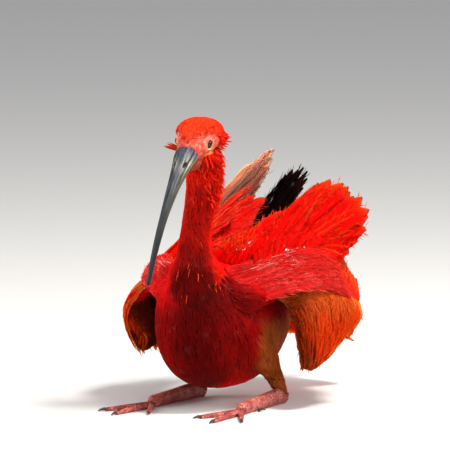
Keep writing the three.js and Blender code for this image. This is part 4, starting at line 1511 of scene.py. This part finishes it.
tail_rows = []
for side in (-1, 1):
    tail_rows += [tail_row(side, 1, 42, 0, 22, 6, 5), tail_row(side, 0.55, 40, 5, 20, 4, 6),
                  tail_row(side, 0.34, 34, 9, 18, 4, 7)]
tail = vane_mesh("tail_feathers", tail_rows)
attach(tail, "root")
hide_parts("tail")
print("tail:", len(tail.data.polygons), "faces")

# %% [markdown]
# The bill is a long arc that tapers from its root to its tip. An arc with given sizes at
# seven places could be a tapered curve object, but here the same numbers also tell the
# material how far along the bill a point lies.

# %% Sizes and arc of the bill
BILL_LENGTH = 149.5
BILL_SWEEP = math.radians(40)
BILL_START = math.radians(8)
BILL_HALF = [(0, 12.2), (0.05, 11), (0.12, 9), (0.25, 6.8), (0.5, 4.2), (0.8, 3.0), (1, 2.3)]
BILL_RISE = [(0, 11.2), (0.05, 10.2), (0.12, 8.3), (0.25, 6.1), (0.5, 4.2), (0.8, 3.1), (1, 2)]
BILL_DROP = [(0, 9), (0.05, 8.4), (0.12, 6.9), (0.25, 5.1), (0.5, 3.4), (0.8, 2.6), (1, 1.6)]
BILL_SIDES = 96
BILL_RINGS = 180
NOSTRIL_PLACE = 0.118
NOSTRIL_SIDE = 0.56


def profile(pairs):
    """A size that changes smoothly along the bill, through (place, size) pairs."""
    fine = np.linspace(0, 1, 400)
    value = np.interp(fine, [a for a, b in pairs], [b for a, b in pairs])
    for i in range(3):
        padded = np.concatenate([[value[0]] * 12, value, [value[-1]] * 12])
        value = np.convolve(padded, np.ones(25) / 25, "valid")
    return lambda t: float(np.interp(t, fine, value))


def bill_frame(t):
    """Middle of the bill's section, its way forward and its way up."""
    radius = BILL_LENGTH / BILL_SWEEP
    angle = BILL_START + BILL_SWEEP * t
    middle = on_head(25 + radius * (math.sin(angle) - math.sin(BILL_START)), -2.2 * t * t,
                     -3 - radius * (math.cos(BILL_START) - math.cos(angle)))
    way = head_forward * math.cos(angle) - head_up * math.sin(angle)
    over = head_forward * math.sin(angle) + head_up * math.cos(angle)
    return middle, way, over


print("the bill's tip lies at", bill_frame(1)[0].round(1))

# %% [markdown]
# The bill is solid horn in two halves that meet in a line. Each half is drawn out ring
# by ring along the arc, finely enough for the low ridge along its top, the groove on
# each side and the dent of each nostril.

# %% Bill in two halves
def smooth_mesh(bm, name):
    """A mesh out of an edited form, shaded smooth."""
    mesh = bpy.data.meshes.new(name)
    bm.to_mesh(mesh)
    bm.free()
    for polygon in mesh.polygons:
        polygon.use_smooth = True
    return mesh


def bill_half(name, upper):
    rings = []
    half_at, reach_at = profile(BILL_HALF), profile(BILL_RISE if upper else BILL_DROP)
    for r in range(BILL_RINGS + 1):
        t = -0.03 + 1.03 * r / BILL_RINGS
        middle, way, over = bill_frame(t)
        half = half_at(t) * (1 if upper else 0.92)
        end = math.sqrt(max(0.03, 1 - max(0, (t - 0.975) / 0.025)**2))
        a = np.arange(BILL_SIDES) / BILL_SIDES * 2 * math.pi
        c, d = np.cos(a), np.sin(a)
        # a ridge on top, a long groove and a nostril on each side, and a flat inner wall
        depth = 0.11 * np.exp(-((d - 0.55) / 0.09)**2) * (1 - t)**0.6 * upper
        depth += (0.2 * upper * math.exp(-((t - NOSTRIL_PLACE) / 0.018)**2)
                  * np.exp(-((np.abs(c) - NOSTRIL_SIDE) / 0.1)**2))
        ridge = 1 + 0.07 * np.exp(-(c / 0.2)**2) * upper
        x = np.where(d >= 0, np.sign(c) * np.abs(c)**0.9 * half * (1 - depth), c * half)
        z = np.where(d >= 0, np.abs(d)**0.95 * reach_at(t) * ridge * (1 - depth), 0)
        z = z * end + 0.12
        rings.append(middle + np.outer(x * end, head_left)
                     + np.outer(z if upper else -z, over))
    mesh = smooth_mesh(loft(rings), name)
    # each point keeps how far along, across and above the middle of the bill it lies
    points = plan(points_of(mesh))
    table = np.array([bill_frame(t)[0] for t in np.linspace(0, 1, 400)])
    nearest = np.array([np.argmin(((table - q)**2).sum(1)) for q in points]) / 399
    frames = [bill_frame(t) for t in nearest]
    half = np.array([half_at(t) for t in nearest])
    reach = np.array([reach_at(t) for t in nearest])
    across = np.array([(q - f[0]) @ head_left for q, f in zip(points, frames)]) / half
    over = np.array([(q - f[0]) @ f[2] for q, f in zip(points, frames)]) / reach
    layer = mesh.attributes.new("Along", "FLOAT_VECTOR", "POINT")
    layer.data.foreach_set("vector", np.stack(
        [nearest, across, over], -1).astype(np.float32).ravel())
    obj = new_object(name, mesh)
    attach(obj, "root")
    return obj


bill_upper = bill_half("bill_upper_horn", True)
bill_lower = bill_half("bill_lower_horn", False)
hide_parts("bill_upper")
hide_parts("bill_lower")
print("bill has", len(bill_upper.data.polygons) + len(bill_lower.data.polygons), "faces")

# %% [markdown]
# Shanks, toes and claws are bare, so nothing hides them and the solids already have
# their true shape. Each gets a smoothed copy: its loose triangles are merged and its
# faces shaded smooth, and the scales come later from the material.

# %% Legs from the solids
MERGE_DISTANCE = 0.00002


def smooth_copy(node, name):
    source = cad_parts[node]
    bm = bmesh.new()
    bm.from_mesh(source.data)
    bmesh.ops.remove_doubles(bm, verts=bm.verts, dist=MERGE_DISTANCE)
    bmesh.ops.recalc_face_normals(bm, faces=bm.faces)
    obj = new_object(name, smooth_mesh(bm, name))
    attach(obj, "root")
    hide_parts(node)
    return obj


legs, claws = [], []
for side in ("left", "right"):
    legs.append(smooth_copy("tarsus_" + side, "shank_" + side))
    legs.append(smooth_copy("toes_" + side, "toe_skin_" + side))
    for toe in ("middle", "outer", "inner", "hind"):
        claws.append(smooth_copy(f"claw_{side}_{toe}", f"claw_horn_{side}_{toe}"))
print(len(legs), "leg pieces and", len(claws), "claws")

# %% [markdown]
# The eye is a dark ball in a swelling of the skin, turned outwards and a little
# forwards. Each point keeps how far it lies along that way, so that the material can
# tell the pupil from its ring without a picture.

# %% Eyeballs
EYE_RADIUS = 0.0052


def eye_frame(side):
    """Middle of an eye in the frame, the way it looks and its way up."""
    axis = eye_axis(side)
    return (place(on_head(0, EYE_OUT * side, 0)), axis,
            unit(np.cross(np.cross(axis, head_up), axis)))


def eyeball(name, side):
    middle, axis, upright = eye_frame(side)
    bm = bmesh.new()
    bmesh.ops.create_uvsphere(bm, u_segments=48, v_segments=32, radius=EYE_RADIUS)
    turn = Matrix((np.cross(upright, axis), upright, axis)).transposed()
    bmesh.ops.transform(bm, matrix=turn.to_4x4(), verts=bm.verts)
    bmesh.ops.translate(bm, verts=bm.verts, vec=middle)
    bmesh.ops.recalc_face_normals(bm, faces=bm.faces)
    mesh = smooth_mesh(bm, "eyeball_" + name)
    outward = (points_of(mesh) - middle) @ axis / EYE_RADIUS
    mesh.attributes.new("Outward", "FLOAT", "POINT").data.foreach_set(
        "value", outward.astype(np.float32))
    obj = new_object("eyeball_" + name, mesh)
    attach(obj, "root")
    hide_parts("eye_" + name)
    return obj


print("an eye is", round(EYE_RADIUS * 2000, 1), "mm across")

# %% [markdown]
# A thin pale lid runs around the eye. It is a circle spun about the way the eye looks
# and then drawn out to an almond. A ring from an operator would also do, but a spin
# follows the tilted eye without any turning afterwards.

# %% Eyelids
LID_RADIUS = 0.0046
LID_THICK = 0.0006
LID_OUT = 0.003


def eyelid(name, side):
    middle, axis, upright = eye_frame(side)
    bm = bmesh.new()
    bmesh.ops.create_circle(bm, segments=12, radius=LID_THICK)
    tilt = Matrix((Vector(upright), Vector(axis), Vector(np.cross(upright, axis)))).transposed()
    bmesh.ops.transform(bm, matrix=tilt.to_4x4(), verts=bm.verts)
    rim = middle + axis * LID_OUT
    bmesh.ops.translate(bm, verts=bm.verts, vec=rim + upright * LID_RADIUS)
    bmesh.ops.spin(bm, geom=bm.verts[:] + bm.edges[:], cent=rim, axis=axis,
                   angle=2 * math.pi, steps=56, use_merge=True)
    level = unit(np.cross(axis, upright))
    for vert in bm.verts:
        off = np.array(vert.co) - rim
        high, wide, out = off @ upright, off @ level, off @ axis
        high *= 1.08 + 0.1 * math.exp(-(wide / 0.0016)**2)
        vert.co = Vector(rim + upright * high + level * wide * 0.92
                         + axis * out * (1.25 if high > 0 else 0.9))
    bmesh.ops.recalc_face_normals(bm, faces=bm.faces)
    mesh = smooth_mesh(bm, "lid_" + name)
    f, l, u = on_head_places(plan(points_of(mesh)))
    pale = ease(0.7 * f - u, -1.5, 3.5)
    store_plumage(mesh, blend(ink(226, 110, 88), ink(232, 202, 140), pale))
    obj = new_object("lid_" + name, mesh)
    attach(obj, "root")
    return obj


eyes, lids = [], []
for name, side in (("left", 1), ("right", -1)):
    eyes.append(eyeball(name, side))
    lids.append(eyelid(name, side))
print("eyes and lids:", [o.name for o in eyes + lids])

# %% [markdown]
# Feathers, skin, horn and scales each get their own look out of shader nodes. Nodes
# could be joined by hand in the editor, but short functions that add and link them let a
# whole look be read as a few lines.

# %% Node helpers
def link(tree, source, target):
    tree.links.new(source, target)


def add_node(tree, kind, **settings):
    """A node with its inputs set by name; a socket given as a value is linked."""
    node = tree.nodes.new(kind)
    for key, value in settings.items():
        label = key.replace("_", " ")
        if hasattr(node, key) and key not in node.inputs:
            setattr(node, key, value)
            continue
        socket = node.inputs[int(key[1:])] if key[1:].isdigit() else node.inputs[label]
        if isinstance(value, bpy.types.NodeSocket):
            link(tree, value, socket)
        else:
            socket.default_value = value
    return node


def maths(tree, operation, a, b=0.0):
    return add_node(tree, "ShaderNodeMath", operation=operation, _0=a, _1=b).outputs[0]


def remap(tree, value, low, high, out_low=0.0, out_high=1.0):
    node = add_node(tree, "ShaderNodeMapRange", Value=value)
    node.interpolation_type = "SMOOTHSTEP"
    for name, number in (("From Min", low), ("From Max", high), ("To Min", out_low),
                         ("To Max", out_high)):
        node.inputs[name].default_value = number
    return node.outputs["Result"]


def mixed(tree, factor, a, b, blend_type="MIX"):
    node = tree.nodes.new("ShaderNodeMix")
    node.data_type = "RGBA"
    node.blend_type = blend_type
    for socket, value in ((node.inputs[0], factor), (node.inputs[6], a), (node.inputs[7], b)):
        if isinstance(value, bpy.types.NodeSocket):
            link(tree, value, socket)
        elif hasattr(value, "__len__"):
            socket.default_value = (*value[:3], 1)
        else:
            socket.default_value = value
    return node.outputs[2]


def shared_group(name, inputs, outputs):
    tree = bpy.data.node_groups.new(name, "ShaderNodeTree")
    for label, kind, value in inputs:
        socket = tree.interface.new_socket(label, in_out="INPUT", socket_type=kind)
        socket.default_value = value
    for label, kind in outputs:
        tree.interface.new_socket(label, in_out="OUTPUT", socket_type=kind)
    return tree, tree.nodes.new("NodeGroupInput"), tree.nodes.new("NodeGroupOutput")


print("node groups so far:", len(bpy.data.node_groups))

# %% [markdown]
# Two effects are shared, so they are built once as node groups: the fine barbs that run
# out from every shaft, and the wetness, which leaves some places glossy and others dull.
# Colours come from the plumage values that the meshes carry, and the nodes vary them.

# %% Shared node groups
barbs, given, put = shared_group(
    "barbs", [("Fine", "NodeSocketFloat", 1500.0), ("Slope", "NodeSocketFloat", 0.9),
              ("Stretch", "NodeSocketFloat", 0.12)],
    [("Mask", "NodeSocketFloat")])
uv = add_node(barbs, "ShaderNodeUVMap", uv_map="Vane")
parts = add_node(barbs, "ShaderNodeSeparateXYZ", Vector=uv.outputs[0])
wide = maths(barbs, "ABSOLUTE", parts.outputs[0])
sloped = maths(barbs, "MULTIPLY", wide, given.outputs["Slope"])
run = maths(barbs, "SUBTRACT", parts.outputs[1], sloped)
x = maths(barbs, "MULTIPLY", run, given.outputs["Fine"])
side_step = maths(barbs, "MULTIPLY", parts.outputs[0], given.outputs["Fine"])
y = maths(barbs, "MULTIPLY", side_step, given.outputs["Stretch"])
spot = add_node(barbs, "ShaderNodeCombineXYZ", X=x, Y=y)
grain = add_node(barbs, "ShaderNodeTexNoise", Vector=spot.outputs[0], Scale=1.0, Detail=2.0)
link(barbs, remap(barbs, grain.outputs[0], 0.36, 0.64), put.inputs["Mask"])

wetness, given, put = shared_group(
    "wetness", [("Scale", "NodeSocketFloat", 60.0), ("Amount", "NodeSocketFloat", 0.5)],
    [("Gloss", "NodeSocketFloat"), ("Roughness", "NodeSocketFloat")])
where = add_node(wetness, "ShaderNodeTexCoord")
noise_node = add_node(wetness, "ShaderNodeTexNoise", Vector=where.outputs["Object"],
                      Scale=given.outputs["Scale"], Detail=3.0)
gloss = maths(wetness, "MULTIPLY", remap(wetness, noise_node.outputs[0], 0.6, 0.7),
              given.outputs["Amount"])
link(wetness, gloss, put.inputs["Gloss"])
link(wetness, maths(wetness, "SUBTRACT", 0.6, maths(wetness, "MULTIPLY", gloss, 0.5)),
     put.inputs["Roughness"])
print("node groups:", [g.name for g in bpy.data.node_groups])

# %% [markdown]
# Vanes let some light through, as a thin feather does against the sky, so they scatter
# it inside. Tufts are duller. Bare skin is blotched and finely folded. All could be one
# material, but what sets them apart is how they take light, not only their colour.

# %% Materials of feathers and skin
def material(name, base=(0.5, 0.5, 0.5), rough=0.5, coat=0.0, specular=0.5):
    m = bpy.data.materials.new(name)
    m.use_nodes = True
    shader = m.node_tree.nodes["Principled BSDF"]
    shader.inputs["Base Color"].default_value = (*base[:3], 1)
    shader.inputs["Roughness"].default_value = rough
    shader.inputs["Specular IOR Level"].default_value = specular
    shader.inputs["Coat Weight"].default_value = coat
    shader.inputs["Coat Roughness"].default_value = 0.2
    return m, m.node_tree, shader


def use_group(tree, group, **values):
    node = tree.nodes.new("ShaderNodeGroup")
    node.node_tree = group
    for key, value in values.items():
        node.inputs[key].default_value = value
    return node


def attribute(tree, name, output="Color"):
    return add_node(tree, "ShaderNodeAttribute", attribute_name=name).outputs[output]


def bump(tree, shader, height, distance, strength=1.0):
    node = add_node(tree, "ShaderNodeBump", Height=height, Strength=strength)
    node.inputs["Distance"].default_value = distance
    link(tree, node.outputs[0], shader.inputs["Normal"])


def dampen(tree, shader, scale, amount):
    """Glossy wet places in a material."""
    damp = use_group(tree, wetness, Scale=scale, Amount=amount)
    link(tree, damp.outputs["Roughness"], shader.inputs["Roughness"])
    link(tree, damp.outputs["Gloss"], shader.inputs["Coat Weight"])


def feather_material(name, fine, slope, stretch, wet, specular=0.03):
    m, tree, shader = material(name, specular=specular)
    shader.inputs["Coat Roughness"].default_value = 0.12
    lines = use_group(tree, barbs, Fine=fine, Slope=slope, Stretch=stretch).outputs["Mask"]
    tint = attribute(tree, "Plumage")
    dark = mixed(tree, 1.0, tint, (0.66, 0.56, 0.56), "MULTIPLY")
    link(tree, mixed(tree, lines, dark, tint), shader.inputs["Base Color"])
    dampen(tree, shader, 90.0, wet)
    bump(tree, shader, lines, 0.0002, 0.6)
    return m


vane_look = feather_material("wet vanes", 1100.0, 0.9, 0.1, 0.45, specular=0.0)
vane_shader = vane_look.node_tree.nodes["Principled BSDF"]
vane_shader.inputs["Subsurface Weight"].default_value = 0.7
vane_shader.inputs["Subsurface Radius"].default_value = (1.0, 0.35, 0.2)
vane_shader.inputs["Subsurface Scale"].default_value = 0.004
tuft_look = feather_material("wet tufts", 900.0, 0.0, 3.0, 0.16)
for obj in (tail, *wing_objects.values()):
    obj.data.materials.append(vane_look)
for obj in coat_objects.values():
    obj.data.materials.append(tuft_look)

skin_look, tree, shader = material("bird skin", rough=0.5, specular=0.3)
shader.inputs["Subsurface Weight"].default_value = 0.12
shader.inputs["Subsurface Radius"].default_value = (0.004, 0.0015, 0.001)
where = add_node(tree, "ShaderNodeTexCoord").outputs["Object"]
patches = add_node(tree, "ShaderNodeTexNoise", Vector=where, Scale=260.0, Detail=4.0)
folds = add_node(tree, "ShaderNodeTexNoise", Vector=where, Scale=620.0, Detail=3.0)
folds.inputs["Distortion"].default_value = 1.2
tint = attribute(tree, "Plumage")
light_tint = mixed(tree, 1.0, tint, (1.25, 1.5, 1.5), "MULTIPLY")
dark_tint = mixed(tree, 1.0, tint, (0.72, 0.5, 0.6), "MULTIPLY")
tone = mixed(tree, remap(tree, patches.outputs[0], 0.36, 0.64), dark_tint, light_tint)
ridges = remap(tree, folds.outputs[0], 0.4, 0.62)
link(tree, mixed(tree, maths(tree, "MULTIPLY", ridges, 0.4), tone, light_tint),
     shader.inputs["Base Color"])
dampen(tree, shader, 140.0, 0.5)
bump(tree, shader, ridges, 0.0005, 0.8)
for obj in (skin, *lids):
    obj.data.materials.append(skin_look)
print("looks of the plumage:", vane_look.name, "+", tuft_look.name, "+", skin_look.name)

# %% [markdown]
# Horn grows forwards, so its streaks run along the bill. Each point of the bill knows
# how far along, across and above the middle it lies, and the pattern is drawn from
# that: slate-blue on top, partly a painted reflection of the sky, brown at the sides and
# underneath, partly painted warm light, dark at the tip, a pale line at the seam.

# %% Horn of the bill and the claws
horn, tree, shader = material("bill horn", rough=0.42, coat=0.06, specular=0.25)
place_on_bill = attribute(tree, "Along", "Vector")
parts = add_node(tree, "ShaderNodeSeparateXYZ", Vector=place_on_bill)
t, across, over = parts.outputs
stretched = add_node(tree, "ShaderNodeVectorMath", operation="MULTIPLY", _0=place_on_bill)
stretched.inputs[1].default_value = (7, 5, 5)
streaks = add_node(tree, "ShaderNodeTexNoise", Vector=stretched.outputs[0], Scale=1.0,
                   Detail=6.0)
streak = remap(tree, streaks.outputs[0], 0.38, 0.64)
# slate-blue on top, partly a painted reflection of the sky, and brown at the sides, partly painted
# warm light
top = mixed(tree, streak, ink(24, 30, 38), ink(72, 81, 88))
flank = mixed(tree, streak, ink(32, 29, 20), ink(84, 79, 58))
away = remap(tree, maths(tree, "ABSOLUTE", across), 0.3, 0.8)
body = mixed(tree, away, top, flank)
# brown underneath, partly painted warm light
under = remap(tree, over, -0.2, 0.1, 1.0, 0.0)
body = mixed(tree, maths(tree, "MULTIPLY", under, 0.8), body, ink(74, 64, 34))
dark_tip = mixed(tree, streak, ink(7, 8, 10), ink(22, 27, 33))
body = mixed(tree, remap(tree, t, 0.1, 0.8), body, dark_tip)
rim = remap(tree, t, 0.0, 0.06, 1.0, 0.0)
body = mixed(tree, rim, body, mixed(tree, streak, ink(34, 28, 44), ink(76, 68, 90)))
seam = maths(tree, "ABSOLUTE", maths(tree, "ADD", over, -0.12))
body = mixed(tree, remap(tree, seam, 0.03, 0.12, 0.7, 0.0), body, ink(128, 124, 98))
crack = maths(tree, "ABSOLUTE", over)
body = mixed(tree, remap(tree, crack, 0.02, 0.06, 0.85, 0.0), body, ink(20, 16, 12))
# the nostrils: a dark slit in a pale patch on each side of the ridge
du = maths(tree, "DIVIDE", maths(tree, "SUBTRACT", t, NOSTRIL_PLACE), 0.026)
shifted = maths(tree, "ADD", maths(tree, "ABSOLUTE", across), maths(tree, "MULTIPLY", du, 0.05))
dv = maths(tree, "DIVIDE", maths(tree, "SUBTRACT", shifted, NOSTRIL_SIDE), 0.15)
slit = maths(tree, "ADD", maths(tree, "MULTIPLY", du, du), maths(tree, "MULTIPLY", dv, dv))
above = remap(tree, over, 0.1, 0.3)
pale = maths(tree, "MULTIPLY", remap(tree, slit, 1.0, 12.0, 0.75, 0.0), above)
hole = maths(tree, "MULTIPLY", remap(tree, slit, 0.5, 1.1, 1.0, 0.0), above)
body = mixed(tree, maths(tree, "MULTIPLY", pale, streak), body, ink(158, 152, 138))
body = mixed(tree, hole, body, ink(18, 8, 8))
link(tree, body, shader.inputs["Base Color"])
bump(tree, shader, maths(tree, "SUBTRACT", streak, maths(tree, "MULTIPLY", hole, 3.0)),
     0.0004, 0.7)
for obj in (bill_upper, bill_lower):
    obj.data.materials.append(horn)
claw, tree, shader = material("claw horn", rough=0.35, specular=0.4)
where = add_node(tree, "ShaderNodeTexCoord").outputs["Object"]
grain = add_node(tree, "ShaderNodeTexNoise", Vector=where, Scale=500.0, Detail=3.0)
link(tree, mixed(tree, remap(tree, grain.outputs[0], 0.4, 0.6), ink(26, 20, 20),
                 ink(70, 54, 50)), shader.inputs["Base Color"])
for obj in claws:
    obj.data.materials.append(claw)
print("looks of the horn:", horn.name, "+", claw.name)

# %% [markdown]
# A wading bird's legs are covered with small many-sided scales, which a cell pattern
# gives in colour and in relief. The eye is nearly black, with a thin brown ring around
# its pupil, under a clear wet coat.

# %% Scaly legs and dark eyes
leg, tree, shader = material("leg skin", rough=0.45, coat=0.1, specular=0.35)
where = add_node(tree, "ShaderNodeTexCoord").outputs["Object"]
scales = add_node(tree, "ShaderNodeTexVoronoi", Vector=where, Scale=360.0,
                  feature="DISTANCE_TO_EDGE")
patches = add_node(tree, "ShaderNodeTexNoise", Vector=where, Scale=90.0, Detail=3.0)
tone = mixed(tree, remap(tree, patches.outputs[0], 0.35, 0.65), ink(176, 64, 60),
             ink(226, 128, 112))
plates = remap(tree, scales.outputs[0], 0.02, 0.16)
link(tree, mixed(tree, plates, ink(112, 36, 34), tone), shader.inputs["Base Color"])
bump(tree, shader, plates, 0.0004, 0.8)
for obj in legs:
    obj.data.materials.append(leg)
eye, tree, shader = material("eye", rough=0.12, specular=0.2, coat=0.12)
outward = attribute(tree, "Outward", "Fac")
ring = mixed(tree, remap(tree, outward, 0.9, 0.925), ink(64, 34, 20), ink(5, 4, 5))
ring = mixed(tree, remap(tree, outward, 0.66, 0.8), ink(20, 12, 10), ring)
link(tree, ring, shader.inputs["Base Color"])
for obj in eyes:
    obj.data.materials.append(eye)
print("looks of legs and eyes:", leg.name, "+", eye.name)

# %% [markdown]
# The bird stands in a plain studio. A small strong lamp from above and the right works
# as the sun, and three broad soft ones keep the shaded sides readable. A single hard
# lamp would be closer to open sun, but would hide half of the form in shadow.

# %% Floor and light
bm = bmesh.new()
bmesh.ops.create_grid(bm, x_segments=1, y_segments=1, size=6)
mesh = bpy.data.meshes.new("floor")
bm.to_mesh(mesh)
bm.free()
floor = new_object("floor", mesh)
floor.data.materials.append(material("floor", (0.72, 0.71, 0.69), 0.8)[0])
world = bpy.data.worlds.new("studio")
bpy.context.scene.world = world
world.use_nodes = True
world.node_tree.nodes["Background"].inputs[0].default_value = (0.93, 0.95, 1, 1)
world.node_tree.nodes["Background"].inputs[1].default_value = 0.42


def lamp(name, spot, aim, size, power, colour=(1, 1, 1)):
    light = bpy.data.lights.new(name, "AREA")
    light.size = size
    light.energy = power
    light.color = colour
    obj = bpy.data.objects.new(name, light)
    bpy.context.scene.collection.objects.link(obj)
    obj.matrix_world = Matrix.Translation(spot) @ (
        (Vector(spot) - Vector(aim)).to_track_quat("Z", "Y").to_matrix().to_4x4())


AIM = (0, 0, 0.16)
lamp("sun from above", view_right * 0.8 + view_back * 0.5 + Vector((0, 0, 2.0)), AIM, 0.5,
     60, (1, 0.97, 0.92))
lamp("soft right", view_right * 2.2 + view_back * 0.5 + Vector((0, 0, 1.3)), AIM, 1.2, 30,
     (1, 0.98, 0.95))
lamp("soft left", view_right * -2.2 + view_back * 0.3 + Vector((0, 0, 1.0)), AIM, 1.2, 36,
     (1, 0.98, 0.95))
lamp("soft front", view_right * 0.5 + view_back * 2.4 + Vector((0, 0, 1.1)), AIM, 1.8, 22,
     (1, 0.99, 0.97))
print("lamps:", ", ".join(light.name for light in bpy.data.lights))
